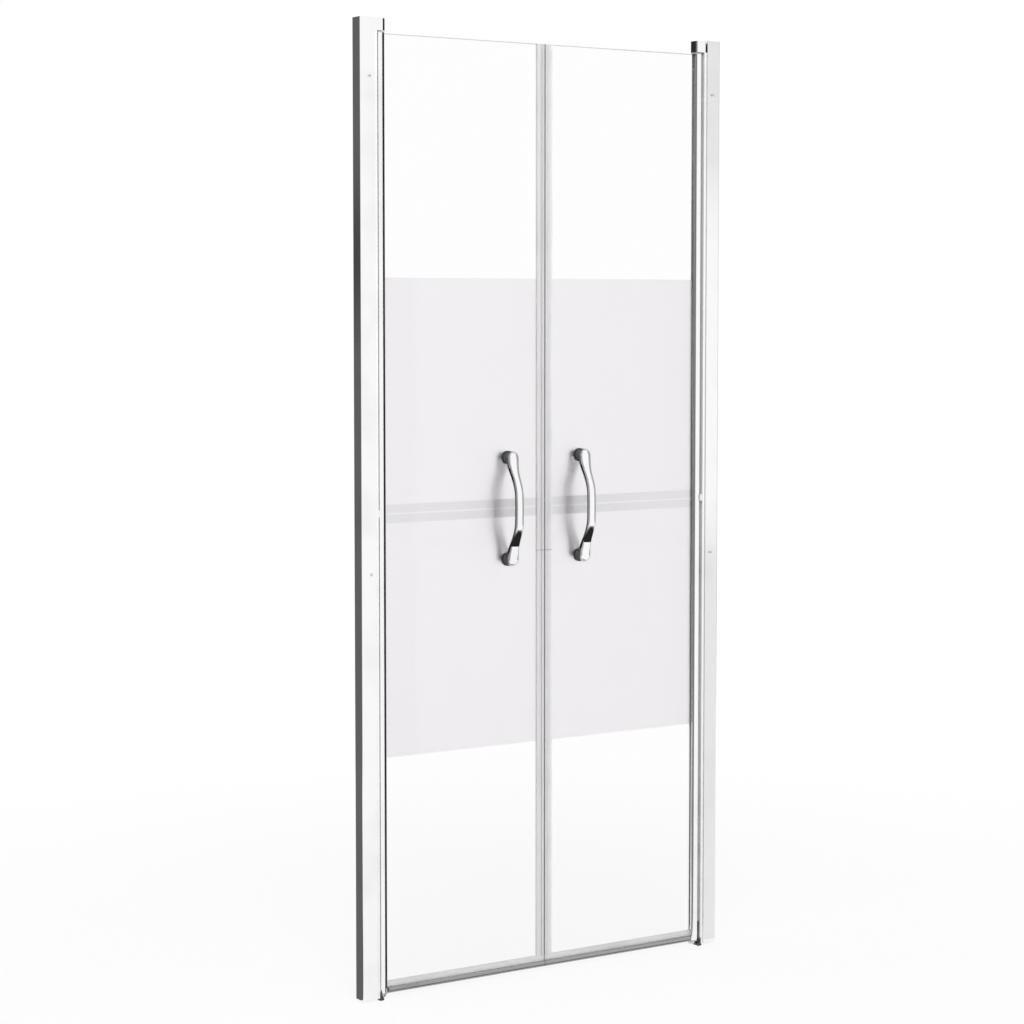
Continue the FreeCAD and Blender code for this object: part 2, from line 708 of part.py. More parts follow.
def make_drip_rail(side):
    """Hollow rail with a round underside along the foot of the leaf."""
    body = new_body("drip_rail_" + side)
    section = new_sketch(body, "YZ_Plane", "rail_start")
    half = "rail_depth / 2"
    middle = "rail_bottom + rail_depth / 2"
    shoulder = "rail_top - rail_corner"
    edge = "(rail_depth / 2 - rail_corner)"
    groove = "(half_seal + slip_clearance)"
    add_loop(section, (
        ("0", "rail_bottom"),
        (half, middle),
        (half, shoulder),
        (edge, "rail_top"),
        (groove, "rail_top"),
        (groove, "groove_floor"),
        ("-" + groove, "groove_floor"),
        ("-" + groove, "rail_top"),
        ("-" + edge, "rail_top"),
        ("-" + half, shoulder),
        ("-" + half, middle),
    ), (
        (0, (half, "0", middle)),
        (2, ("rail_corner", edge, shoulder)),
        (8, ("rail_corner", "-" + edge, shoulder)),
        (10, (half, "0", middle)),
    ))
    add_circle(section, "0", "(rail_bottom + groove_floor) / 2", "rail_bore")
    add_pad(body, section, "meeting_face - (rail_start)")
    place_on_side(body, side, "drip_rail")


def add_turned(body, sketch, angle, both_ways=False):
    """Turn a sketch about the first construction line in it."""
    turned = body.newObject("PartDesign::Revolution", body.Name + "_turned")
    turned.Profile = sketch
    turned.ReferenceAxis = (sketch, ["Axis0"])
    turned.Midplane = both_ways
    turned.setExpression("Angle", bind(angle))
    return turned


def add_axis(sketch, start, finish):
    ends = [FreeCAD.Vector(value(across), value(along), 0) for across, along in (start, finish)]
    line = sketch.addGeometry(Part.LineSegment(*ends), True)
    fix_point(sketch, line, 1, start)
    fix_point(sketch, line, 2, finish)


def taper_point(along, radius):
    """A point of the taper's outline, at a distance along its axis and a distance from the axis."""
    across = "-lobe_out - (%s) * sin(bow_angle) - (%s) * cos(bow_angle)" % (along, radius)
    height = "half_span - (%s) * cos(bow_angle) + (%s) * sin(bow_angle)" % (along, radius)
    return across, height


def make_handle(side, label, faces_back):
    """Bow handle about its own centre, standing off in -Y. The round bar of the grip is bent to an arc,
    and straight tapers run from its ends, in line with the arc, to the round ends over the posts."""
    body = new_body(label + "_" + side)
    grip = new_sketch(body, "XY_Plane", "0")
    add_circle(grip, "0", "-grip_out", "grip_radius")
    add_axis(grip, ("-grip_radius", "bow_radius - grip_out"), ("grip_radius", "bow_radius - grip_out"))
    add_turned(body, grip, "2 * bow_angle", both_ways=True)

    outline = new_sketch(body, "YZ_Plane", "0")
    add_loop(outline, (
        taper_point("-lobe_radius", "0"),
        taper_point("0", "lobe_radius"),
        taper_point("taper_length", "grip_radius"),
        taper_point("taper_length", "0"),
    ), ((0, ("lobe_radius", "-lobe_out", "half_span")),))
    add_axis(outline, taper_point("0", "0"), taper_point("taper_length", "0"))
    taper = add_turned(body, outline, "360")

    base = new_sketch(body, "XZ_Plane", "post_face")
    add_circle(base, "0", "half_span", "lobe_radius")
    post = add_pad(body, base, "lobe_out - post_face")
    document.recompute()

    mirror = body.newObject("PartDesign::Mirrored", body.Name + "_mirror")
    mirror.Originals = [taper, post]
    level = [item for item in body.Origin.OriginFeatures if item.Role == "XY_Plane"][0]
    mirror.MirrorPlane = (level, [""])
    body.Tip = mirror

    trim = new_sketch(body, "XZ_Plane", "post_face")
    bores = new_sketch(body, "XZ_Plane", "post_face")
    for height in ("half_span", "-half_span"):
        add_circle(trim, "0", height, "lobe_radius + washer_extra")
        add_circle(bores, "0", height, "stud_radius + seat_clearance")
    add_pocket(body, trim, "cut_overrun + lobe_radius")
    add_pocket(body, bores, "stud_grip", along_normal=True)

    place_on_side(body, side, label, "handle_x", "handle_centre")
    body.Placement.Rotation = FreeCAD.Rotation(FreeCAD.Vector(0, 0, 1), 180 if faces_back else 0)


def make_handle_washers(side):
    """Rings between the posts and the glass, two at the front and two at the back."""
    body = new_body("handle_washers_" + side)
    for outward in (False, True):
        rings = new_sketch(body, "XZ_Plane", "-half_glass" if outward else "half_glass")
        for height in ("post_high", "post_low"):
            add_circle(rings, "handle_x", height, "lobe_radius + washer_extra")
            add_circle(rings, "handle_x", height, "stud_radius + slip_clearance")
        pad = add_pad(body, rings, "washer_thickness")
        pad.Reversed = outward
    place_on_side(body, side, "handle_washers")


def make_handle_studs(side):
    """Studs through the glass that join the front handle to the back one."""
    body = new_body("handle_studs_" + side)
    sketch = new_sketch(body, "XZ_Plane", "0")
    for height in ("post_high", "post_low"):
        add_circle(sketch, "handle_x", height, "stud_radius")
    add_pad(body, sketch, "2 * (post_face + stud_grip)", both_ways=True)
    place_on_side(body, side, "handle_studs")


for side in SIDES:
    make_wall_profile(side)
    make_adjusting_profile(side)
    make_clamp_screws(side)
    make_top_cap(side)
    make_bottom_bearing(side)
    make_bottom_foot(side)
    make_mid_bearing(side)
    make_pin(side, "top_pivot_pin", "leaf_top - pin_engagement", "(pin_engagement + top_gap + pin_hold)")
    make_pin(side, "bottom_pivot_pin", "ground_gap", "(arm_thickness + slide_clearance + pin_engagement)")
    make_hinge_profile(side)
    make_bush(side, "top_bush", "hinge_top", "hinge_top - bush_length", "leaf_top - pin_engagement - end_gap")
    make_bush(side, "bottom_bush", "leaf_bottom", "hinge_bottom",
              "leaf_bottom - cut_overrun + end_gap")
    make_glass(side)
    make_glazing_gasket(side)
    make_centre_seal(side, "centre_seal_lower", "seal_bottom", "lower_seal_top")
    make_centre_seal(side, "centre_seal_upper", "upper_seal_start", "glass_top")
    make_magnet_strips(side)
    make_bottom_seal(side)
    make_drip_rail(side)
    make_handle(side, "handle_front", faces_back=False)
    make_handle(side, "handle_back", faces_back=True)
    make_handle_washers(side)
    make_handle_studs(side)

document.recompute()
for item in document.Objects:
    if "Invalid" in item.State or "Error" in item.State:
        raise RuntimeError(item.Label + " has failed")
for item in SUB_PARTS:
    if item.Shape.isNull() or not item.Shape.isValid():
        raise RuntimeError(item.Label + " has no valid shape")

os.makedirs("parts", exist_ok=True)
for item in SUB_PARTS:
    item.Shape.exportStep("parts/" + item.Label + ".step")
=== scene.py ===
"""Finish of a double-leaf pivot shower door: metal, frosted glass, seals, handles and studio."""

import math

import bmesh
import bpy
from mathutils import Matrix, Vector


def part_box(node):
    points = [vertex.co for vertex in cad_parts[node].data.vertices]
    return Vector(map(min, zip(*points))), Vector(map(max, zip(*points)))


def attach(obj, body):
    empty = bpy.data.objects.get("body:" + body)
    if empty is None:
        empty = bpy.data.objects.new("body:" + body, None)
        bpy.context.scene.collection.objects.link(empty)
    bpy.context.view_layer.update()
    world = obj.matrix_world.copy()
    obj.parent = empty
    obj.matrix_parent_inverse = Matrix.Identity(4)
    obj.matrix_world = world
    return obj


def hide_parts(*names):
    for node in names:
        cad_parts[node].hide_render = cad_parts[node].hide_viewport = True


bl_info = {
    "name": "Shower Door",
    "version": (1, 0, 0),
    "blender": (4, 5, 0),
    "location": "3D View > Sidebar > Shower Door",
    "description": "Builds the finish of a double-leaf pivot shower door for a niche",
    "category": "Object",
}

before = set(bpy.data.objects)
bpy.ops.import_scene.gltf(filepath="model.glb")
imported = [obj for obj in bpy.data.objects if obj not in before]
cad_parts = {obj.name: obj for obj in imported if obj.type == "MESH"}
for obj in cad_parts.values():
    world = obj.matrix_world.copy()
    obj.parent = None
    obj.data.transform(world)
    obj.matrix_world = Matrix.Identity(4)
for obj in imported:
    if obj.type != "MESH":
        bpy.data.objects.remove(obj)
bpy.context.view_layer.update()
SIDES = ("left", "right")
BODIES = {"left": "leaf_left", "right": "leaf_right"}
MERGE_DISTANCE = 0.000001
FLAT_ANGLE = math.radians(0.5)
SHARP_ANGLE = math.radians(32)
SLOPE_STEP = 0.0001
BUMP_DISTANCE = 0.0002
HANDLE_POINTS_ROUND = 64
HANDLE_RINGS = 120
HANDLE_END_RINGS = 10
FLOOR_REACH = 12
FLOOR_GAP = 0.0002
CARD_LIFT = 0.002


# Sizes and colours

def length(name, description, default):
    return bpy.props.FloatProperty(
        name=name, description=description, default=default, unit="LENGTH", precision=4)


def share(name, description, default):
    return bpy.props.FloatProperty(
        name=name, description=description, default=default, min=0, max=1, subtype="FACTOR")


def colour(name, description, default):
    return bpy.props.FloatVectorProperty(
        name=name, description=description, default=default, size=3, min=0, max=1, subtype="COLOR")


def position(name, description, default):
    return bpy.props.FloatVectorProperty(
        name=name, description=description, default=default, subtype="TRANSLATION", unit="LENGTH")


def rotation(name, description, degrees):
    return bpy.props.FloatProperty(
        name=name, description=description, default=math.radians(degrees), subtype="ANGLE")


class MetalSettings(bpy.types.PropertyGroup):
    """Finish of the extrusions, castings and turned parts."""

    aluminium: colour("Aluminium", "Bright polished extrusions", (0.95, 0.945, 0.95))
    chrome: colour("Chrome", "Handles and top caps", (0.95, 0.945, 0.955))
    steel: colour("Steel", "Screws, pins and bearings", (0.66, 0.665, 0.68))
    rail: colour("Rail", "Satin rail along the foot of each leaf", (0.38, 0.38, 0.39))
    screw: colour("Screw", "Clamp screws", (0.95, 0.945, 0.95))
    aluminium_roughness: share("Aluminium roughness", "Gloss of the extrusions", 0.1)
    chrome_roughness: share("Chrome roughness", "Gloss of handles and caps", 0.05)
    steel_roughness: share("Steel roughness", "Gloss of screws and pins", 0.24)
    mill_roughness: share("Mill roughness", "Gloss of the adjusting profiles", 0.25)
    mill_metallic: share("Mill metallic", "Metal share of the adjusting profiles' finish", 0.5)
    edge: length("Edge", "Broken edge of the metal pieces", 0.00025)
    flange_edge: length("Flange edge", "Rounded open edges of the wall profiles", 0.0003)


class PlasticSettings(bpy.types.PropertyGroup):
    """Finish of moulded plastic, rubber and vinyl."""

    black: colour("Black plastic", "Feet under the leaves", (0.02, 0.02, 0.022))
    white: colour("White plastic", "Cradles at half height", (0.82, 0.82, 0.81))
    grey: colour("Grey plastic", "Bushes", (0.4, 0.41, 0.42))
    rubber: colour("Rubber", "Rings under the handle posts", (0.03, 0.03, 0.032))
    gasket: colour("Gasket", "Strip between glass and profile", (0.8, 0.81, 0.81))
    vinyl: colour("Vinyl", "Clear seals", (0.985, 0.98, 0.985))
    # Painted shade in the narrow gap where the two leaves meet: its tint and how far it reaches
    # from the middle
    meeting: colour("Meeting faces", "Seals where the two leaves meet", (0.5, 0.5, 0.51))
    meeting_width: length("Meeting width", "Dull stretch from the middle of the doorway", 0.0012)
    seam: length("Seam", "Joint in the centre seals above the floor", 0.861)
    magnet: colour("Magnet", "Strips inside the centre seals", (0.88, 0.88, 0.88))


class GlassSettings(bpy.types.PropertyGroup):
    """Pattern and tint of the two glass panels."""

    frosted_low: length("Frosted from", "Lower edge of the frosted field", 0.474)
    frosted_high: length("Frosted to", "Upper edge of the frosted field", 1.4066)
    band_low: length("Band from", "Lower edge of the striped band", 0.932)
    band_high: length("Band to", "Upper edge of the striped band", 0.968)
    line_width: length("Line", "Clear line along the middle of the band", 0.003)
    softness: length("Softness", "Blurred edge of the field and the band", 0.0006)
    fade_near: length("Fade from", "From a handle to where the band starts to fade", 0.05)
    fade_far: length("Fade to", "From a handle to where the band is faint", 0.2)
    faded: share("Faded band", "Strength of the band away from the handles", 0.7)
    # Painted shade of the handles: a darker stretch of the band behind each handle, its width and
    # soft ends
    patch_width: length("Patch width", "Darker stretch of the band behind a handle", 0.066)
    patch_softness: length("Patch softness", "Blurred ends of the darker stretch", 0.0012)
    line_share: share("Line share", "How clear the line is in the darker stretch", 0.5)
    clear: colour("Clear tint", "Glass above and below the field", (0.99, 0.985, 0.99))
    frosted: colour("Frosted tint", "Frosted field", (0.967, 0.947, 0.967))
    band: colour("Band tint", "Stripes of the band", (0.81, 0.795, 0.81))
    # Tint of the painted handle shade on the band
    patch: colour("Patch tint", "Band behind a handle", (0.68, 0.67, 0.68))
    edge: colour("Edge tint", "Cut edges of the glass", (0.5, 0.66, 0.6))
    arris: colour("Arris tint", "Ground corner along the upper edge", (0.62, 0.63, 0.63))
    arris_width: length("Arris", "Ground corner along the upper edge", 0.0016)
    frosted_roughness: share("Frosted roughness", "Blur of the frosted field", 0.42)
    clear_roughness: share("Clear roughness", "Blur of the clear glass", 0.0)
    mark_roughness: share("Mark roughness", "Added blur of dried drops", 0.04)


class HandleSettings(bpy.types.PropertyGroup):
    """Curve and thickness of the bow handles."""

    spacing: length("Spacing", "Between the posts", 0.204)
    lobe_radius: length("Round ends", "Radius of the ends and posts", 0.0126)
    lobe_stand: length("End stand", "Middle of the ends in front of the glass face", 0.015)
    rise: length("Rise", "Middle of the grip in front of the ends", 0.0265)
    bow_radius: length("Bow radius", "Gentle curve of the grip", 0.4)
    bend_outer: length("Bend start", "From the middle to where the ends start to bend out", 0.107)
    bend_inner: length("Bend end", "From the middle to where the bend is complete", 0.03)
    neck_level: length("Neck", "From the middle to where the round ends start to swell", 0.058)
    grip_width: length("Grip width", "Across the grip", 0.0174)
    grip_thickness: length("Grip thickness", "Towards the hand", 0.0172)
    surface_step: length("Surface step", "Spacing of the finished surface", 0.0008)


class ScrewSettings(bpy.types.PropertyGroup):
    """Clamp screws in the front flanges of the wall profiles."""

    head_radius: length("Head radius", "Pan head", 0.0036)
    head_height: length("Head height", "Pan head", 0.0018)
    dome: length("Dome", "How much lower the rim of the head is", 0.0006)
    shank_radius: length("Shank radius", "Under the head", 0.002)
    shank_length: length("Shank length", "Under the head", 0.0088)
    recess_width: length("Recess width", "One arm of the cross", 0.0011)
    recess_length: length("Recess length", "The cross, end to end", 0.0042)
    recess_depth: length("Recess depth", "The cross", 0.0007)


class StageSettings(bpy.types.PropertyGroup):
    """Camera, floor, light and the cards that the metal mirrors."""

    camera_place: position("Camera", "Place of the camera", (-2.8276, -4.2183, 1.3529))
    camera_turn: rotation("Turn", "To the right of straight ahead", 33.114)
    camera_tilt: rotation("Tilt", "Downwards", 3.745)
    lens: bpy.props.FloatProperty(
        name="Lens", description="Focal length", default=88.87, unit="CAMERA")
    lens_shift: bpy.props.FloatProperty(
        name="Shift", description="Vertical shift of the lens", default=-0.04)
    floor_colour: colour("Floor", "Plain floor", (0.93, 0.925, 0.93))
    floor_shadow: share("Floor shadow", "Share of the door's shadow that stays on the floor", 0.13)
    shadow_near: length("Shadow from", "From the door to where its shadow starts to fade", 0.7)
    shadow_far: length("Shadow to", "From the door to where its shadow ends", 2.6)
    soft_light: share("Soft light", "Light from all round on matt surfaces", 0.72)
    key_power: bpy.props.FloatProperty(
        name="Key light", description="Power of the large soft lamp", default=70, unit="POWER")
    key_size: length("Key light size", "Diameter of the large soft lamp", 2.4)
    key_place: position("Key light place", "Place of the large soft lamp", (-1.6, -2.6, 3.2))
    key_aim: length("Key light aim", "Height on the door that the lamp points at", 0.9)
    side_flag: share("Side flag", "Brightness of the cards that the left faces mirror", 0.12)
    deep_flag: share("Deep flag", "Brightness of the left card at its darkest heights", 0.0672)
    right_flag: share("Right flag", "Brightness of the cards that the right edges mirror", 0.4)
    hinge_flag: share("Hinge flag", "Brightness of the cards at the left hinge and the cap", 0.025)
    groove_flag: share("Groove flag", "Brightness of the card beside the right hinge", 0.2)
    wall_flag: share("Wall flag", "Brightness of the card before the right wall profile", 0.84)
    grip_flag: share("Grip flag", "Brightness of the card under the grips of the handles", 0.02)
    rail_flag: share("Rail flag", "Brightness of the card in front of the rails", 0.3)
    post_flag: share("Post flag", "Brightness of the cards at the handle posts and necks", 0.02)


# Node helpers

def add_node(tree, kind, inputs=(), **settings):
    """A node with its settings, whose inputs are numbers, colours or the outputs of other nodes."""
    node = tree.nodes.new(kind)
    for name, value in settings.items():
        setattr(node, name, value)
    for name, source in dict(inputs).items():
        if isinstance(source, bpy.types.NodeSocket):
            tree.links.new(source, node.inputs[name])
        else:
            node.inputs[name].default_value = source
    return node


def add_maths(tree, operation, *terms, clamp=False):
    node = add_node(tree, "ShaderNodeMath", enumerate(terms), operation=operation, use_clamp=clamp)
    return node.outputs[0]


def add_mix(tree, factor, first, second):
    """A colour between two colours."""
    node = add_node(tree, "ShaderNodeMix", ((0, factor), (6, first), (7, second)), data_type="RGBA")
    return node.outputs[2]


def add_noise(tree, place, scale, detail=2, roughness=0.5):
    return add_node(tree, "ShaderNodeTexNoise", (
        ("Vector", place), ("Scale", scale), ("Detail", detail),
        ("Roughness", roughness))).outputs["Fac"]


def add_range(tree, value, start=0, end=1, first=0, last=1, **settings):
    """A value that goes from first to last while another goes from start to end."""
    return add_node(tree, "ShaderNodeMapRange", (
        ("Value", value), ("From Min", start), ("From Max", end),
        ("To Min", first), ("To Max", last)), **settings).outputs[0]


def part_of(tree, vector, axis):
    return add_node(tree, "ShaderNodeSeparateXYZ", ((0, vector),)).outputs[axis]


def opaque(rgb):
    return (*rgb, 1)


def neutral(shade):
    return (shade, shade, shade, 1)


def new_group(name, inputs, outputs):
    """An empty shader group, with the sockets that it is given and those of its result."""
    group = bpy.data.node_groups.new(name, "ShaderNodeTree")
    for in_out, sockets in (("INPUT", inputs), ("OUTPUT", outputs)):
        for socket, kind in sockets.items():
            group.interface.new_socket(
                name=socket, in_out=in_out, socket_type="NodeSocket" + kind)
    given = group.nodes.new("NodeGroupInput").outputs
    result = group.nodes.new("NodeGroupOutput").inputs
    return group, given, result


def make_drawn_finish():
    """Fine lines that run along an extrusion, with broad faint smears over them."""
    group, given, result = new_group(
        "Drawn finish",
        dict(Vector="Vector", Stretch="Vector", Colour="Color", Roughness="Float", Spread="Float"),
        dict(Colour="Color", Roughness="Float", Height="Float"))
    stretched = add_node(group, "ShaderNodeVectorMath", (
        (0, given["Vector"]), (1, given["Stretch"])), operation="MULTIPLY")
    lines = add_noise(group, stretched.outputs[0], scale=1, detail=4, roughness=0.6)
    smears = add_noise(group, given["Vector"], scale=9)
    wander = add_maths(group, "ADD", lines, smears)
    average = 1
    centred = add_maths(group, "SUBTRACT", wander, average)
    spread = add_maths(group, "MULTIPLY", centred, given["Spread"])
    roughness = add_maths(group, "ADD", given["Roughness"], spread, clamp=True)
    smeared, smear_share = (0.3, 0.3, 0.31, 1), 0.1
    darker = add_mix(group, smear_share, given["Colour"], smeared)
    where = add_range(group, smears, start=0.5, end=0.75)
    tone = add_mix(group, where, given["Colour"], darker)
    group.links.new(tone, result["Colour"])
    group.links.new(roughness, result["Roughness"])
    group.links.new(lines, result["Height"])
    return group


def make_moulded_grain():
    """Fine matt grain of moulded plastic and rubber, with slightly uneven colour."""
    group, given, result = new_group(
        "Moulded grain",
        dict(Vector="Vector", Scale="Float", Colour="Color", Roughness="Float", Spread="Float"),
        dict(Colour="Color", Roughness="Float", Height="Float"))
    grain = add_noise(group, given["Vector"], given["Scale"], detail=3)
    patches = add_noise(group, given["Vector"], scale=40)
    average = 0.5
    centred = add_maths(group, "SUBTRACT", patches, average)
    spread = add_maths(group, "MULTIPLY", centred, given["Spread"])
    roughness = add_maths(group, "ADD", given["Roughness"], spread, clamp=True)
    worn_share = 0.12
    worn = add_mix(group, worn_share, given["Colour"], neutral(0.5))
    tone = add_mix(group, patches, given["Colour"], worn)
    group.links.new(tone, result["Colour"])
    group.links.new(roughness, result["Roughness"])
    group.links.new(grain, result["Height"])
    return group


def make_level_band():
    """1 between two heights, and 0 above and below, with a soft step at each."""
    group, given, result = new_group(
        "Level band", dict(Vector="Vector", Low="Float", High="Float", Softness="Float"),
        dict(Mask="Float"))
    height = part_of(group, given["Vector"], "Z")
    above = add_maths(group, "SUBTRACT", height, given["Low"])
    below = add_maths(group, "SUBTRACT", given["High"], height)
    inside = add_maths(group, "MINIMUM", above, below)
    step = add_maths(group, "DIVIDE", inside, given["Softness"])
    mask = add_maths(group, "ADD", step, 0.5, clamp=True)
    group.links.new(mask, result["Mask"])
    return group


def make_water_marks():
    """Scattered faint spots where drops have dried."""
    group, given, result = new_group(
        "Water marks", dict(Vector="Vector", Scale="Float"), dict(Mask="Float"))
    spots = add_node(group, "ShaderNodeTexVoronoi", (
        ("Vector", given["Vector"]), ("Scale", given["Scale"])))
    dots = add_range(group, spots.outputs["Distance"], start=0.3, end=0.12)
    areas = add_noise(group, given["Vector"], scale=14)
    where = add_range(group, areas, start=0.52, end=0.7)
    mask = add_maths(group, "MULTIPLY", dots, where, clamp=True)
    group.links.new(mask, result["Mask"])
    return group


def get_group(name):
    """A shared shader group, built when it is first asked for."""
    makers = {
        "Drawn finish": make_drawn_finish,
        "Moulded grain": make_moulded_grain,
        "Level band": make_level_band,
        "Water marks": make_water_marks,
    }
    return bpy.data.node_groups.get(name) or makers[name]()


def add_group(tree, name, inputs):
    return add_node(tree, "ShaderNodeGroup", inputs, node_tree=get_group(name))


def add_level_band(tree, place, low, high, softness):
    return add_group(tree, "Level band", (
        ("Vector", place), ("Low", low), ("High", high), ("Softness", softness))).outputs["Mask"]


# Materials

def new_material(name):
    material = bpy.data.materials.new(name)
    material.use_nodes = True
    tree = material.node_tree
    place = tree.nodes.new("ShaderNodeTexCoord").outputs["Object"]
    return material, tree, tree.nodes["Principled BSDF"], place


def connect_finish(tree, shader, finish, strength):
    """Colour, roughness and bump of a shared finish, on the material's shader."""
    tree.links.new(finish.outputs["Colour"], shader.inputs["Base Color"])
    tree.links.new(finish.outputs["Roughness"], shader.inputs["Roughness"])
    bump = add_node(tree, "ShaderNodeBump", (
        ("Strength", strength), ("Distance", BUMP_DISTANCE), ("Height", finish.outputs["Height"])))
    tree.links.new(bump.outputs[0], shader.inputs["Normal"])


def make_metal(name, tint, roughness, stretch, spread=0.05, strength=0.05, metallic=1):
    material, tree, shader, place = new_material(name)
    finish = add_group(tree, "Drawn finish", (
        ("Vector", place), ("Stretch", stretch), ("Colour", opaque(tint)),
        ("Roughness", roughness), ("Spread", spread)))
    connect_finish(tree, shader, finish, strength)
    shader.inputs["Metallic"].default_value = metallic
    return material


def make_plastic(name, tint, roughness, grain):
    material, tree, shader, place = new_material(name)
    finish = add_group(tree, "Moulded grain", (
        ("Vector", place), ("Scale", grain), ("Colour", opaque(tint)),
        ("Roughness", roughness), ("Spread", 0.12)))
    connect_finish(tree, shader, finish, strength=0.15)
    return material


def make_vinyl(settings):
    """Clear flexible seal, duller at its seam, with painted shade on its faces where the two leaves
    meet.
    """
    softness = 0.0004
    seam_height = 0.0012
    seam_dullness = 0.6
    material, tree, shader, place = new_material("clear_vinyl")
    from_middle = add_maths(tree, "ABSOLUTE", part_of(tree, place, "X"))
    # Painted shade: the seal faces close to the middle, in the gap between the two leaves, are
    # darker
    meeting = add_range(
        tree, from_middle, settings.meeting_width + softness, settings.meeting_width)
    seam = add_level_band(
        tree, place, settings.seam - softness, settings.seam + seam_height + softness, softness)
    seam = add_maths(tree, "MULTIPLY", seam, seam_dullness)
    # Darker at the seam, where two lengths of seal join, and with the painted shade of the gap
    dull = add_maths(tree, "MAXIMUM", meeting, seam)
    tint = add_mix(tree, dull, opaque(settings.vinyl), opaque(settings.meeting))
    finish = add_group(tree, "Drawn finish", (
        ("Vector", place), ("Stretch", (900, 900, 12)), ("Colour", tint),
        ("Roughness", 0.4), ("Spread", 0.08)))
    connect_finish(tree, shader, finish, strength=0.1)
    shader.inputs["Transmission Weight"].default_value = 0.6
    shader.inputs["IOR"].default_value = 1.08
    return material


def make_glass(settings):
    """Toughened glass with a frosted field, a striped band across it with painted shade behind the
    handles, and tinted cut edges.
    """
    material, tree, shader, place = new_material("patterned_glass")

    def band(low, high):
        return add_level_band(tree, place, low, high, settings.softness)

    field = band(settings.frosted_low, settings.frosted_high)
    stripes = band(settings.band_low, settings.band_high)
    middle = (settings.band_low + settings.band_high) / 2
    line = band(middle - settings.line_width / 2, middle + settings.line_width / 2)
    bars = add_maths(tree, "MULTIPLY", stripes, add_maths(tree, "SUBTRACT", 1, line))

    from_middle = add_maths(tree, "ABSOLUTE", part_of(tree, place, "X"))
    handle_low, handle_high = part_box("handle_front_right")
    handle_x = (handle_low.x + handle_high.x) / 2
    from_handle = add_maths(tree, "ABSOLUTE", add_maths(tree, "SUBTRACT", from_middle, handle_x))
    near = add_range(tree, from_handle, settings.fade_far, settings.fade_near, settings.faded)
    bars = add_maths(tree, "MULTIPLY", bars, near)
    # Painted shade: the band is darker in a stretch behind each handle, where the handle's shade
    # falls on the glass
    beside = add_maths(tree, "SUBTRACT", settings.patch_width / 2, from_handle)
    beside = add_maths(tree, "DIVIDE", beside, settings.patch_softness)
    patch = add_maths(tree, "ADD", beside, 0.5, clamp=True)
    faint_line = add_maths(tree, "MULTIPLY", line, settings.line_share)
    patch = add_maths(tree, "MULTIPLY", patch, add_maths(tree, "SUBTRACT", stripes, faint_line))

    marks = add_group(tree, "Water marks", (("Vector", place), ("Scale", 260))).outputs["Mask"]
    tint = add_mix(tree, field, opaque(settings.clear), opaque(settings.frosted))
    tint = add_mix(tree, bars, tint, opaque(settings.band))
    tint = add_mix(tree, patch, tint, opaque(settings.patch))
    normal = tree.nodes.new("ShaderNodeTexCoord").outputs["Normal"]
    facing = add_maths(tree, "ABSOLUTE", part_of(tree, normal, "Y"))
    cut_edge = add_maths(tree, "SUBTRACT", 1, facing, clamp=True)
    tint = add_mix(tree, cut_edge, tint, opaque(settings.edge))
    glass_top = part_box("glass_right")[1].z
    above = band(glass_top - settings.arris_width, glass_top + settings.arris_width)
    tint = add_mix(tree, above, tint, opaque(settings.arris))
    tree.links.new(tint, shader.inputs["Base Color"])

    frosted = add_range(
        tree, field, first=settings.clear_roughness, last=settings.frosted_roughness)
    spotted = add_maths(tree, "MULTIPLY", marks, settings.mark_roughness)
    roughness = add_maths(tree, "ADD", frosted, spotted, clamp=True)
    tree.links.new(roughness, shader.inputs["Roughness"])

    etching = add_noise(tree, place, scale=2200)
    height = add_maths(tree, "MULTIPLY", etching, field)
    bump = add_node(tree, "ShaderNodeBump", (
        ("Strength", 0.05), ("Distance", BUMP_DISTANCE / 2), ("Height", height)))
    tree.links.new(bump.outputs[0], shader.inputs["Normal"])
    shader.inputs["Transmission Weight"].default_value = 1
    shader.inputs["IOR"].default_value = 1.5
    return material


# Pieces

def finish_mesh(piece):
    """Turn a piece with its modifiers into a plain mesh."""
    seen = piece.evaluated_get(bpy.context.evaluated_depsgraph_get())
    mesh = bpy.data.meshes.new_from_object(seen)
    piece.modifiers.clear()
    piece.data = mesh
    return mesh


def link_piece(name, data):
    """An object in the scene for a mesh, a lamp or a lens."""
    piece = bpy.data.objects.new(name, data)
    bpy.context.scene.collection.objects.link(piece)
    return piece


def paint(piece, material):
    piece.data.materials.clear()
    piece.data.materials.append(material)


def dress(node, body, material, edge):
    """A copy of a solid, with broken edges and smooth round stretches, stands for it."""
    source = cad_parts[node]
    mesh = source.data.copy()
    form = bmesh.new()
    form.from_mesh(mesh)
    bmesh.ops.remove_doubles(form, verts=form.verts, dist=MERGE_DISTANCE)
    bmesh.ops.dissolve_limit(form, angle_limit=FLAT_ANGLE, verts=form.verts, edges=form.edges)
    for face in form.faces:
        face.smooth = True
    form.to_mesh(mesh)
    form.free()
    if "custom_normal" in mesh.attributes:
        mesh.attributes.remove(mesh.attributes["custom_normal"])
    piece = link_piece(node + "_finished", mesh)
    bevel = piece.modifiers.new("Broken edges", "BEVEL")
    bevel.width = edge
    bevel.segments = 2
    bevel.limit_method = "ANGLE"
    bevel.angle_limit = SHARP_ANGLE
    weighing = piece.modifiers.new("Flats stay flat", "WEIGHTED_NORMAL")
    weighing.weight = 100
    finish_mesh(piece)
    paint(piece, material)
    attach(piece, body)
    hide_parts(node)
    return piece


def repaint(node, material):
    """Give a solid that stays as it is its finish."""
    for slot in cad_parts[node].material_slots:
        slot.material = material


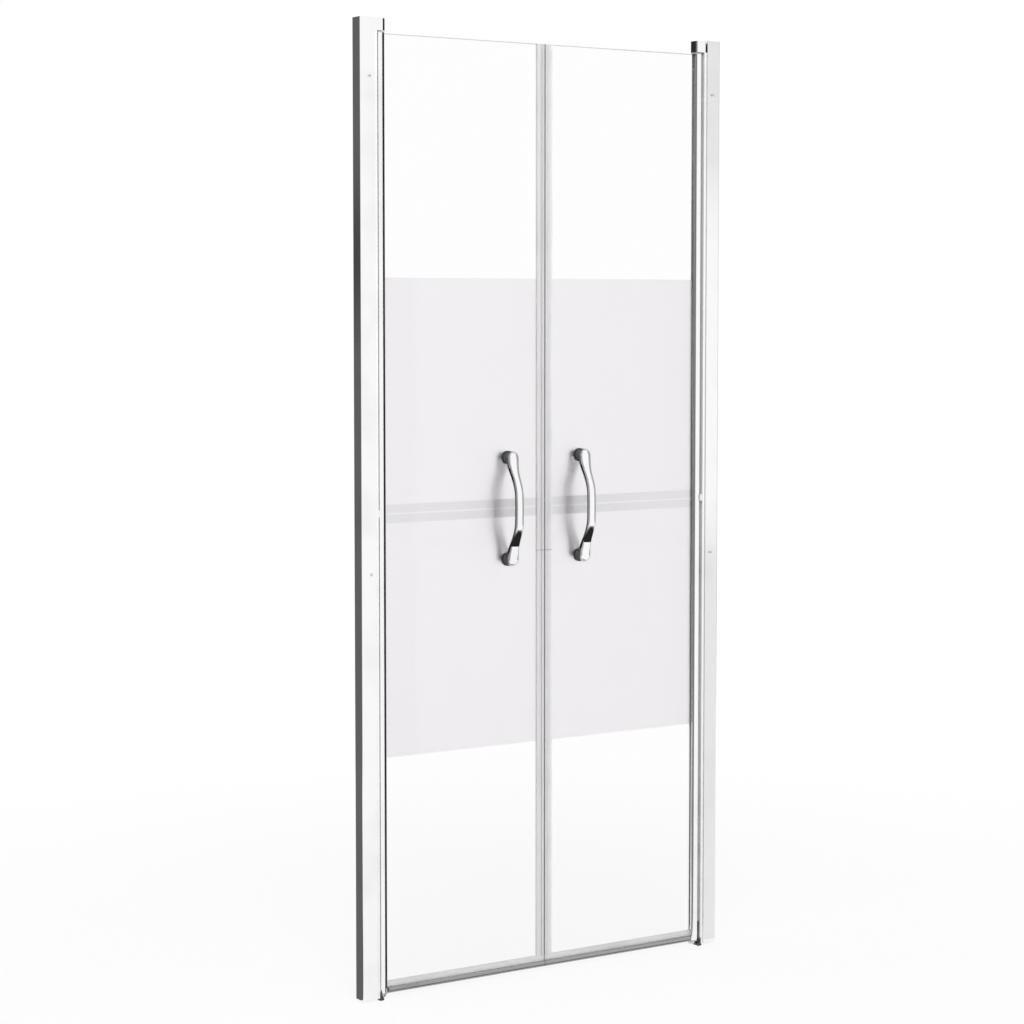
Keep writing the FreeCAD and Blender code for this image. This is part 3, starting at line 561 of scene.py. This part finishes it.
class SHOWERDOOR_OT_fixed_frame(bpy.types.Operator):
    """Wall profiles, adjusting profiles, top caps, bearings and pins"""

    bl_idname = "shower_door.fixed_frame"
    bl_label = "Fixed frame"

    def execute(self, context):
        metal = context.scene.shower_door_metal
        plastic = context.scene.shower_door_plastic
        upright = (1400, 1400, 3)
        aluminium = make_metal(
            "bright_aluminium", metal.aluminium, metal.aluminium_roughness, upright)
        dull = make_metal(
            "mill_aluminium", metal.aluminium, metal.mill_roughness, upright,
            metallic=metal.mill_metallic)
        chrome = make_metal(
            "cap_chrome", metal.chrome, metal.chrome_roughness, (60, 60, 60),
            spread=0.03, strength=0.01)
        steel = make_metal(
            "ground_steel", metal.steel, metal.steel_roughness, (90, 90, 2200))
        black = make_plastic("black_moulding", plastic.black, 0.42, 1800)
        white = make_plastic("white_moulding", plastic.white, 0.4, 1600)
        for side in SIDES:
            for name, slot, material, edge in (
                ("wall_profile", "polished_aluminium", aluminium, metal.flange_edge),
                ("adjusting_profile", "polished_aluminium", dull, metal.edge),
                ("top_cap", "chromed_cap", chrome, metal.edge),
                ("bottom_bearing", "bearing_steel", steel, metal.edge),
                ("bottom_foot", "black_plastic", black, metal.edge),
                ("mid_bearing", "white_plastic", white, metal.edge),
                ("top_pivot_pin", "bearing_steel", steel, metal.edge / 2),
                ("bottom_pivot_pin", "bearing_steel", steel, metal.edge / 2),
            ):
                dress(name + "_" + side, "root", material, edge)
        return {"FINISHED"}


class SHOWERDOOR_OT_leaf_metal(bpy.types.Operator):
    """Hinge profiles, bushes and drip rails of the leaves"""

    bl_idname = "shower_door.leaf_metal"
    bl_label = "Leaf profiles"

    def execute(self, context):
        metal = context.scene.shower_door_metal
        plastic = context.scene.shower_door_plastic
        aluminium = bpy.data.materials["bright_aluminium"]
        lengthways = make_metal(
            "satin_rail", metal.rail, metal.steel_roughness, (3, 1400, 1400))
        grey = make_plastic("grey_moulding", plastic.grey, 0.38, 1500)
        for side in SIDES:
            for name, slot, material in (
                ("hinge_profile", "polished_aluminium", aluminium),
                ("top_bush", "grey_plastic", grey),
                ("bottom_bush", "grey_plastic", grey),
                ("drip_rail", "polished_aluminium", lengthways),
            ):
                dress(name + "_" + side, BODIES[side], material, metal.edge)
        return {"FINISHED"}


class SHOWERDOOR_OT_glass(bpy.types.Operator):
    """Glass panels with their frosted field and striped band"""

    bl_idname = "shower_door.glass"
    bl_label = "Glass"

    def execute(self, context):
        material = make_glass(context.scene.shower_door_glass)
        for side in SIDES:
            repaint("glass_" + side, material)
        return {"FINISHED"}


class SHOWERDOOR_OT_seals(bpy.types.Operator):
    """Glazing gaskets, centre seals, magnets and bottom seals"""

    bl_idname = "shower_door.seals"
    bl_label = "Seals"

    def execute(self, context):
        plastic = context.scene.shower_door_plastic
        vinyl = make_vinyl(plastic)
        gasket = make_plastic("grey_rubber", plastic.gasket, 0.5, 900)
        magnet = make_plastic("magnetic_rubber", plastic.magnet, 0.5, 1200)
        for side in SIDES:
            for name, material in (
                ("glazing_gasket", gasket),
                ("centre_seal_lower", vinyl),
                ("centre_seal_upper", vinyl),
                ("magnet_strips", magnet),
                ("bottom_seal", vinyl),
            ):
                repaint(name + "_" + side, material)
        return {"FINISHED"}


# Handles

def ease(share_done):
    """A soft step from 0 to 1."""
    held = min(max(share_done, 0), 1)
    return held * held * (3 - 2 * held)


class HandleForm:
    """Path and sections of a bow handle, by the height from its middle."""

    def __init__(self, settings, glass_half):
        self.settings = settings
        self.half_span = settings.spacing / 2
        self.end_out = glass_half + settings.lobe_stand

    def out(self, level):
        """Middle of the section in front of the glass's middle plane."""
        settings = self.settings
        bent = (settings.bend_outer - abs(level)) / (settings.bend_outer - settings.bend_inner)
        bow = level * level / (2 * settings.bow_radius)
        return self.end_out + (settings.rise - bow) * ease(bent)

    def narrowed(self, level):
        """1 along the grip, falling to 0 at the posts."""
        reach = self.half_span - self.settings.neck_level
        return ease((self.half_span - abs(level)) / reach)

    def half(self, level, thickness):
        """Half the section across, where the grip has this thickness."""
        radius = self.settings.lobe_radius
        return radius + (thickness / 2 - radius) * self.narrowed(level)


def add_ring(form, out, level, outward, half_width, half_depth):
    """One closed ring of points round the handle, so far out in front of the glass."""
    centre = Vector((0, -out, level))
    ring = []
    for index in range(HANDLE_POINTS_ROUND):
        angle = math.tau * index / HANDLE_POINTS_ROUND
        sideways = Vector((half_width * math.cos(angle), 0, 0))
        ring.append(form.verts.new(centre + sideways + outward * (half_depth * math.sin(angle))))
    return ring


def bridge(form, rings):
    """Close the skin between rings and over the first and the last."""
    for lower, upper in zip(rings, rings[1:]):
        for index, corner in enumerate(lower):
            following = (index + 1) % len(lower)
            form.faces.new((corner, lower[following], upper[following], upper[index]))
    form.faces.new(rings[0])
    form.faces.new(rings[-1])


def make_handle_form(settings, glass_half, post_face):
    """The handle about its own centre, in front of the glass."""
    shape = HandleForm(settings, glass_half)
    form = bmesh.new()
    radius = settings.lobe_radius
    forward = Vector((0, -1, 0))
    turns = [math.pi / 2 * step / HANDLE_END_RINGS for step in range(1, HANDLE_END_RINGS)]

    def end_rings(direction, angles):
        rings = []
        for angle in angles:
            level = direction * (shape.half_span + radius * math.cos(angle))
            size = radius * math.sin(angle)
            rings.append(add_ring(form, shape.end_out, level, forward, size, size))
        return rings

    rings = end_rings(-1, turns)
    for step in range(HANDLE_RINGS + 1):
        level = shape.half_span * (2 * step / HANDLE_RINGS - 1)
        climb = shape.out(level + SLOPE_STEP) - shape.out(level - SLOPE_STEP)
        outward = Vector((0, -1, -climb / (2 * SLOPE_STEP))).normalized()
        rings.append(add_ring(
            form, shape.out(level), level, outward,
            shape.half(level, settings.grip_width), shape.half(level, settings.grip_thickness)))
    rings += end_rings(1, reversed(turns))
    bridge(form, rings)
    upwards = Vector((0, 0, 1))
    for level in (-shape.half_span, shape.half_span):
        bridge(form, [add_ring(form, out, level, upwards, radius, radius)
                      for out in (post_face - settings.surface_step, shape.end_out)])
    bmesh.ops.recalc_face_normals(form, faces=form.faces)
    return form


class SHOWERDOOR_OT_handles(bpy.types.Operator):
    """Chromed bow handles in front of and behind the glass, with the rings under their posts"""

    bl_idname = "shower_door.handles"
    bl_label = "Handles"

    def execute(self, context):
        metal = context.scene.shower_door_metal
        plastic = context.scene.shower_door_plastic
        settings = context.scene.shower_door_handle
        chrome = make_metal(
            "polished_chrome", metal.chrome, metal.chrome_roughness, (70, 70, 70),
            spread=0.03, strength=0.004)
        rubber = make_plastic("black_rubber", plastic.rubber, 0.5, 1500)
        steel = bpy.data.materials["ground_steel"]
        for side in SIDES:
            glass_low, glass_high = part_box("glass_" + side)
            glass_half = (glass_high.y - glass_low.y) / 2
            for facing in ("front", "back"):
                node = "handle_%s_%s" % (facing, side)
                low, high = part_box(node)
                post_face = -high.y if facing == "front" else low.y
                form = make_handle_form(settings, glass_half, post_face)
                turn = Vector((1, 1, 1)) if facing == "front" else Vector((-1, -1, 1))
                middle = Vector(((low.x + high.x) / 2, 0, (low.z + high.z) / 2))
                for vertex in form.verts:
                    vertex.co = vertex.co * turn + middle
                mesh = bpy.data.meshes.new(node + "_cast")
                form.to_mesh(mesh)
                form.free()
                piece = link_piece(node + "_cast", mesh)
                skin = piece.modifiers.new("Cast in one", "REMESH")
                skin.mode = "VOXEL"
                skin.voxel_size = settings.surface_step
                skin.use_smooth_shade = True
                polish = piece.modifiers.new("Polished", "SMOOTH")
                polish.factor = 0.5
                polish.iterations = 14
                finish_mesh(piece)
                paint(piece, chrome)
                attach(piece, BODIES[side])
                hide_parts(node)
            dress("handle_washers_" + side, BODIES[side], rubber, metal.edge)
            repaint("handle_studs_" + side, steel)
        return {"FINISHED"}


# Clamp screws

SCREW_INPUTS = {
    setting.replace("_", " ").title(): setting for setting in ScrewSettings.__annotations__}


def make_screw_tree(material):
    """Pan head screws with a cross recess, one on each point, heads to the front."""
    tree = bpy.data.node_groups.new("Clamp screws", "GeometryNodeTree")
    tree.interface.new_socket(name="Geometry", in_out="INPUT", socket_type="NodeSocketGeometry")
    for name in SCREW_INPUTS:
        socket = tree.interface.new_socket(
            name=name, in_out="INPUT", socket_type="NodeSocketFloat")
        socket.subtype = "DISTANCE"
    tree.interface.new_socket(name="Geometry", in_out="OUTPUT", socket_type="NodeSocketGeometry")
    given = tree.nodes.new("NodeGroupInput")
    result = tree.nodes.new("NodeGroupOutput")
    size = given.outputs

    head = add_node(tree, "GeometryNodeMeshCylinder", (
        ("Vertices", 48), ("Side Segments", 2), ("Fill Segments", 8),
        ("Radius", size["Head Radius"]), ("Depth", size["Head Height"])))
    place = tree.nodes.new("GeometryNodeInputPosition")
    parts = add_node(tree, "ShaderNodeSeparateXYZ", ((0, place.outputs[0]),))
    flat = add_node(tree, "ShaderNodeCombineXYZ", ((0, parts.outputs[0]), (1, parts.outputs[1])))
    reach = add_node(tree, "ShaderNodeVectorMath", ((0, flat.outputs[0]),), operation="LENGTH")
    part = add_maths(tree, "DIVIDE", reach.outputs["Value"], size["Head Radius"])
    fall = add_maths(tree, "MULTIPLY", add_maths(tree, "POWER", part, 3), size["Dome"])
    above = add_maths(tree, "GREATER_THAN", parts.outputs[2], 0)
    drop = add_maths(tree, "MULTIPLY", add_maths(tree, "MULTIPLY", fall, above), -1)
    lowered = add_node(tree, "ShaderNodeCombineXYZ", ((2, drop),))
    domed = add_node(tree, "GeometryNodeSetPosition", (
        ("Geometry", head.outputs["Mesh"]), ("Offset", lowered.outputs[0])))

    half_height = add_maths(tree, "MULTIPLY", size["Head Height"], 0.5)
    arms = []
    arm_depth = add_maths(tree, "MULTIPLY", size["Recess Depth"], 2)
    for wide, deep in (("Recess Length", "Recess Width"), ("Recess Width", "Recess Length")):
        arm_size = add_node(tree, "ShaderNodeCombineXYZ", (
            (0, size[wide]), (1, size[deep]), (2, arm_depth)))
        arm = add_node(tree, "GeometryNodeMeshCube", (("Size", arm_size.outputs[0]),))
        at_top = add_node(tree, "ShaderNodeCombineXYZ", ((2, half_height),))
        arms.append(add_node(tree, "GeometryNodeTransform", (
            ("Geometry", arm.outputs["Mesh"]), ("Translation", at_top.outputs[0]))).outputs[0])
    cut = add_node(tree, "GeometryNodeMeshBoolean", (("Mesh 1", domed.outputs[0]),),
                   operation="DIFFERENCE")
    for arm in arms:
        tree.links.new(arm, cut.inputs["Mesh 2"])

    shank = add_node(tree, "GeometryNodeMeshCylinder", (
        ("Vertices", 32), ("Side Segments", 1), ("Fill Segments", 1),
        ("Radius", size["Shank Radius"]), ("Depth", size["Shank Length"])))
    half_shank = add_maths(tree, "MULTIPLY", size["Shank Length"], 0.5)
    under = add_maths(tree, "MULTIPLY", add_maths(tree, "ADD", half_height, half_shank), -1)
    below = add_node(tree, "ShaderNodeCombineXYZ", ((2, under),))
    placed = add_node(tree, "GeometryNodeTransform", (
        ("Geometry", shank.outputs["Mesh"]), ("Translation", below.outputs[0])))
    whole = tree.nodes.new("GeometryNodeJoinGeometry")
    tree.links.new(placed.outputs[0], whole.inputs[0])
    tree.links.new(cut.outputs["Mesh"], whole.inputs[0])

    facing = add_node(tree, "FunctionNodeEulerToRotation", ((0, (math.pi / 2, 0, 0)),))
    spread = add_node(tree, "GeometryNodeInstanceOnPoints", (
        ("Points", given.outputs["Geometry"]), ("Instance", whole.outputs[0]),
        ("Rotation", facing.outputs[0])))
    real = add_node(tree, "GeometryNodeRealizeInstances", (("Geometry", spread.outputs[0]),))
    painted = add_node(tree, "GeometryNodeSetMaterial", (
        ("Geometry", real.outputs[0]), ("Material", material)))
    tree.links.new(painted.outputs[0], result.inputs[0])
    return tree


class SHOWERDOOR_OT_clamp_screws(bpy.types.Operator):
    """Clamp screws with a cross recess, two in the front of each wall profile"""

    bl_idname = "shower_door.clamp_screws"
    bl_label = "Clamp screws"

    def execute(self, context):
        metal = context.scene.shower_door_metal
        settings = context.scene.shower_door_screw
        steel = make_metal(
            "turned_steel", metal.screw, metal.steel_roughness, (500, 500, 500),
            spread=0.1, strength=0.1)
        places = []
        for side in SIDES:
            low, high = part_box("clamp_screws_" + side)
            for level in (low.z + settings.head_radius, high.z - settings.head_radius):
                places.append(((low.x + high.x) / 2, low.y + settings.head_height / 2, level))
        mesh = bpy.data.meshes.new("clamp_screws_turned")
        mesh.from_pydata(places, [], [])
        piece = link_piece("clamp_screws_turned", mesh)
        modifier = piece.modifiers.new("Screws", "NODES")
        modifier.node_group = make_screw_tree(steel)
        for item in modifier.node_group.interface.items_tree:
            if item.name in SCREW_INPUTS:
                modifier[item.identifier] = getattr(settings, SCREW_INPUTS[item.name])
        mesh = finish_mesh(piece)
        mesh.shade_smooth()
        mesh.set_sharp_from_angle(angle=SHARP_ANGLE)
        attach(piece, "root")
        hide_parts("clamp_screws_left", "clamp_screws_right")
        return {"FINISHED"}


# Stage

def seen_directly(tree):
    """1 for what is seen, mirrored or through glass too, and 0 for what lights matt surfaces."""
    path = tree.nodes.new("ShaderNodeLightPath").outputs
    mirrored = add_maths(tree, "MAXIMUM", path["Is Camera Ray"], path["Is Glossy Ray"])
    return add_maths(tree, "MAXIMUM", mirrored, path["Is Transmission Ray"])


def make_world(scene, settings):
    world = bpy.data.worlds.new("Studio")
    world.use_nodes = True
    scene.world = world
    tree = world.node_tree
    background = tree.nodes["Background"]
    background.inputs["Color"].default_value = neutral(1)
    strength = add_range(tree, seen_directly(tree), first=settings.soft_light)
    tree.links.new(strength, background.inputs["Strength"])


def upright_corners(start, end, low, high):
    """An upright card that stands from one place on the plan to another, between two heights."""
    return (*start, low), (*end, low), (*end, high), (*start, high)


def level_corners(low, high, height):
    """A level card from one corner on the plan to the opposite one."""
    return tuple((x, y, height) for x, y in (low, (high[0], low[1]), high, (low[0], high[1])))


def make_card(name, corners):
    """A flat card that belongs to the stage."""
    mesh = bpy.data.meshes.new(name)
    mesh.from_pydata(corners, [], [(0, 1, 2, 3)])
    card = link_piece(name, mesh)
    return card


def make_floor(settings):
    """A matt floor that catches the shadow close by and is plain white farther off."""
    floor = make_card("floor", level_corners(
        (-FLOOR_REACH, -FLOOR_REACH), (FLOOR_REACH, FLOOR_REACH), -FLOOR_GAP))
    material, tree, shader, place = new_material("floor")
    uneven = add_noise(tree, place, scale=3)
    tint = add_mix(tree, uneven, opaque(settings.floor_colour), neutral(0.9))
    tree.links.new(tint, shader.inputs["Base Color"])
    shader.inputs["Roughness"].default_value = 0.9
    shader.inputs["Specular IOR Level"].default_value = 0
    white = add_node(tree, "ShaderNodeEmission", (("Color", neutral(1)), ("Strength", 1)))
    reach = add_node(tree, "ShaderNodeVectorMath", ((0, place),), operation="LENGTH")
    shadowed = add_range(
        tree, reach.outputs["Value"], settings.shadow_near, settings.shadow_far,
        first=settings.floor_shadow, last=0, interpolation_type="SMOOTHSTEP")
    plain = add_maths(tree, "SUBTRACT", 1, shadowed)
    kept = add_maths(tree, "MULTIPLY", seen_directly(tree), plain)
    mix = add_node(tree, "ShaderNodeMixShader", (
        (0, kept), (1, shader.outputs[0]), (2, white.outputs[0])))
    tree.links.new(mix.outputs[0], tree.nodes["Material Output"].inputs[0])
    paint(floor, material)


def make_flag(name, corners, shade, both_sides=False, slant=1.0, reach=0.0, band=None):
    """A card that darkens what the metal mirrors, and that nothing else sees.
    It is dark from its front, where a ray meets it squarely enough for the slant.
    It fades out at its reach, and a band of heights can have a shade of its own,
    given by its low and high edges, their softness and the shade."""
    card = make_card(name, corners)
    material = bpy.data.materials.new(name)
    material.use_nodes = True
    tree = material.node_tree
    tree.nodes.remove(tree.nodes["Principled BSDF"])
    path = tree.nodes.new("ShaderNodeLightPath").outputs
    facing = add_node(tree, "ShaderNodeLayerWeight", (("Blend", 0.5),)).outputs["Facing"]
    behind = tree.nodes.new("ShaderNodeNewGeometry").outputs["Backfacing"]
    dark = add_maths(tree, "GREATER_THAN", path["Glossy Depth"], 0.5)
    dark = add_maths(tree, "MULTIPLY", dark, add_maths(tree, "LESS_THAN", facing, slant))
    if reach:
        fade = add_range(tree, path["Ray Length"], reach / 2, reach, first=1, last=0)
        dark = add_maths(tree, "MULTIPLY", dark, fade)
    if not both_sides:
        dark = add_maths(tree, "MULTIPLY", dark, add_maths(tree, "SUBTRACT", 1, behind))
    tone = neutral(shade)
    if band:
        low, high, softness, band_shade = band
        place = tree.nodes.new("ShaderNodeTexCoord").outputs["Object"]
        inside = add_level_band(tree, place, low, high, softness)
        tone = add_mix(tree, inside, tone, neutral(band_shade))
    glow = add_node(tree, "ShaderNodeEmission", (("Color", tone), ("Strength", 1)))
    clear = tree.nodes.new("ShaderNodeBsdfTransparent")
    mix = add_node(tree, "ShaderNodeMixShader", (
        (0, dark), (1, clear.outputs[0]), (2, glow.outputs[0])))
    tree.links.new(mix.outputs[0], tree.nodes["Material Output"].inputs[0])
    paint(card, material)
    card.visible_camera = False
    card.visible_diffuse = False
    card.visible_volume_scatter = False
    card.visible_shadow = False


def make_room_flags(settings):
    """Large cards round the door, for the sides of its profiles."""
    room_height = 5.2
    floor_stripe = (-0.86, 0.002), (-2.42, 2.402), (-1.66, 2.402), (-0.1, 0.002)
    make_flag("left_flag", upright_corners((-2.7, 1), (0.1, 3.3), 0, room_height),
              settings.side_flag, both_sides=True, band=(1.32, 1.66, 0.24, settings.deep_flag))
    make_flag("front_flag", upright_corners((-3.2, -1), (-2.7, 1), 0, room_height),
              settings.right_flag, both_sides=True)
    make_flag("left_floor_flag", [(x, y, CARD_LIFT) for x, y in floor_stripe],
              settings.side_flag, both_sides=True)
    make_flag("right_flag", upright_corners((3, 4), (4.6, -4.4), 0, room_height),
              settings.right_flag, both_sides=True)


def make_frame_flags(settings):
    """Narrow cards close to the door, for the lines along its profiles, cap and rails."""
    top = 2.2
    make_flag("left_hinge_flag", upright_corners((-0.3, 0.17), (-0.3, -0.11), 0, top),
              settings.hinge_flag, slant=0.4)
    make_flag("left_corner_flag", upright_corners((-0.3618, -0.018), (-0.3738, -0.018), 0, top),
              settings.hinge_flag)
    make_flag("right_wall_flag", upright_corners((0.4695, -0.05), (0.4245, -0.05), 0, 2.1),
              settings.wall_flag, band=(0.86, 1.59, 0.17, 1))
    make_flag("right_hinge_flag", upright_corners((0.3, -1.115), (0.3, -0.015), 0, top),
              settings.groove_flag)
    make_flag("right_cap_flag", upright_corners((0.3, -0.03), (0.3, 0.43), 1.876, 2.124),
              settings.hinge_flag)
    make_flag("rail_flag", level_corners((-0.38, -0.21), (0.38, -0.01), CARD_LIFT),
              settings.rail_flag, slant=0.55)


def make_handle_flags(settings):
    """Small cards behind the posts, beside the necks and under the grips of the front handles."""
    out = 0.0035
    left, post_right, neck_right = -0.073, 0.017, -0.013
    post_low, post_high = -0.129, 0.141
    neck_levels, neck_half = (-0.076, 0.065), 0.012
    grip_level = -0.074
    for side in SIDES:
        low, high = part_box("handle_front_" + side)
        middle = (low + high) / 2
        make_flag("post_flag", upright_corners(
            (middle.x + left, out), (middle.x + post_right, out),
            middle.z + post_low, middle.z + post_high), settings.post_flag)
        for level in neck_levels:
            make_flag("neck_flag", upright_corners(
                (middle.x + left, -out), (middle.x + neck_right, -out),
                middle.z + level - neck_half, middle.z + level + neck_half), settings.post_flag)
    make_flag("grip_flag", level_corners((-0.28, -0.1), (0.28, -0.004), middle.z + grip_level),
              settings.grip_flag, slant=0.85, reach=0.1)


class SHOWERDOOR_OT_stage(bpy.types.Operator):
    """Camera, white floor, soft light and the dark cards that the metal mirrors"""

    bl_idname = "shower_door.stage"
    bl_label = "Stage"

    def execute(self, context):
        scene = context.scene
        settings = scene.shower_door_stage
        scene.view_settings.view_transform = "Standard"
        make_world(scene, settings)
        make_floor(settings)
        make_room_flags(settings)
        make_frame_flags(settings)
        make_handle_flags(settings)

        light = bpy.data.lights.new("key_light", "AREA")
        light.shape = "DISK"
        light.size = settings.key_size
        light.energy = settings.key_power
        lamp = link_piece("key_light", light)
        lamp.location = settings.key_place
        aim = Vector((0, 0, settings.key_aim)) - lamp.location
        lamp.rotation_euler = aim.to_track_quat("-Z", "Y").to_euler()
        lamp.visible_glossy = False
        lamp.visible_transmission = False

        lens = bpy.data.cameras.new("camera")
        lens.sensor_width = 36
        lens.lens = settings.lens
        lens.shift_y = settings.lens_shift
        lens.clip_end = 60
        camera = link_piece("camera", lens)
        camera.location = settings.camera_place
        camera.rotation_euler = (math.pi / 2 - settings.camera_tilt, 0, -settings.camera_turn)
        scene.camera = camera
        return {"FINISHED"}


class SHOWERDOOR_PT_panel(bpy.types.Panel):
    """Lists the pieces of the shower door"""

    bl_idname = "SHOWERDOOR_PT_panel"
    bl_label = "Shower Door"
    bl_space_type = "VIEW_3D"
    bl_region_type = "UI"
    bl_category = "Shower Door"

    def draw(self, context):
        for name, kind, operators in GROUPS:
            box = self.layout.box()
            for operator in operators:
                box.operator(operator)
            settings = getattr(context.scene, name)
            for item in kind.__annotations__:
                box.prop(settings, item)


GROUPS = (
    ("shower_door_metal", MetalSettings, ("shower_door.fixed_frame", "shower_door.leaf_metal")),
    ("shower_door_glass", GlassSettings, ("shower_door.glass",)),
    ("shower_door_plastic", PlasticSettings, ("shower_door.seals",)),
    ("shower_door_handle", HandleSettings, ("shower_door.handles",)),
    ("shower_door_screw", ScrewSettings, ("shower_door.clamp_screws",)),
    ("shower_door_stage", StageSettings, ("shower_door.stage",)),
)
CLASSES = tuple(kind for name, kind, operators in GROUPS) + (
    SHOWERDOOR_OT_fixed_frame,
    SHOWERDOOR_OT_leaf_metal,
    SHOWERDOOR_OT_glass,
    SHOWERDOOR_OT_seals,
    SHOWERDOOR_OT_handles,
    SHOWERDOOR_OT_clamp_screws,
    SHOWERDOOR_OT_stage,
    SHOWERDOOR_PT_panel,
)


def register():
    for kind in CLASSES:
        bpy.utils.register_class(kind)
    for name, kind, operators in GROUPS:
        setattr(bpy.types.Scene, name, bpy.props.PointerProperty(type=kind))


def unregister():
    for name, kind, operators in GROUPS:
        delattr(bpy.types.Scene, name)
    for kind in reversed(CLASSES):
        bpy.utils.unregister_class(kind)


def main():
    register()
    bpy.ops.shower_door.fixed_frame()
    bpy.ops.shower_door.leaf_metal()
    bpy.ops.shower_door.glass()
    bpy.ops.shower_door.seals()
    bpy.ops.shower_door.handles()
    bpy.ops.shower_door.clamp_screws()
    bpy.ops.shower_door.stage()


if __name__ == "__main__":
    main()
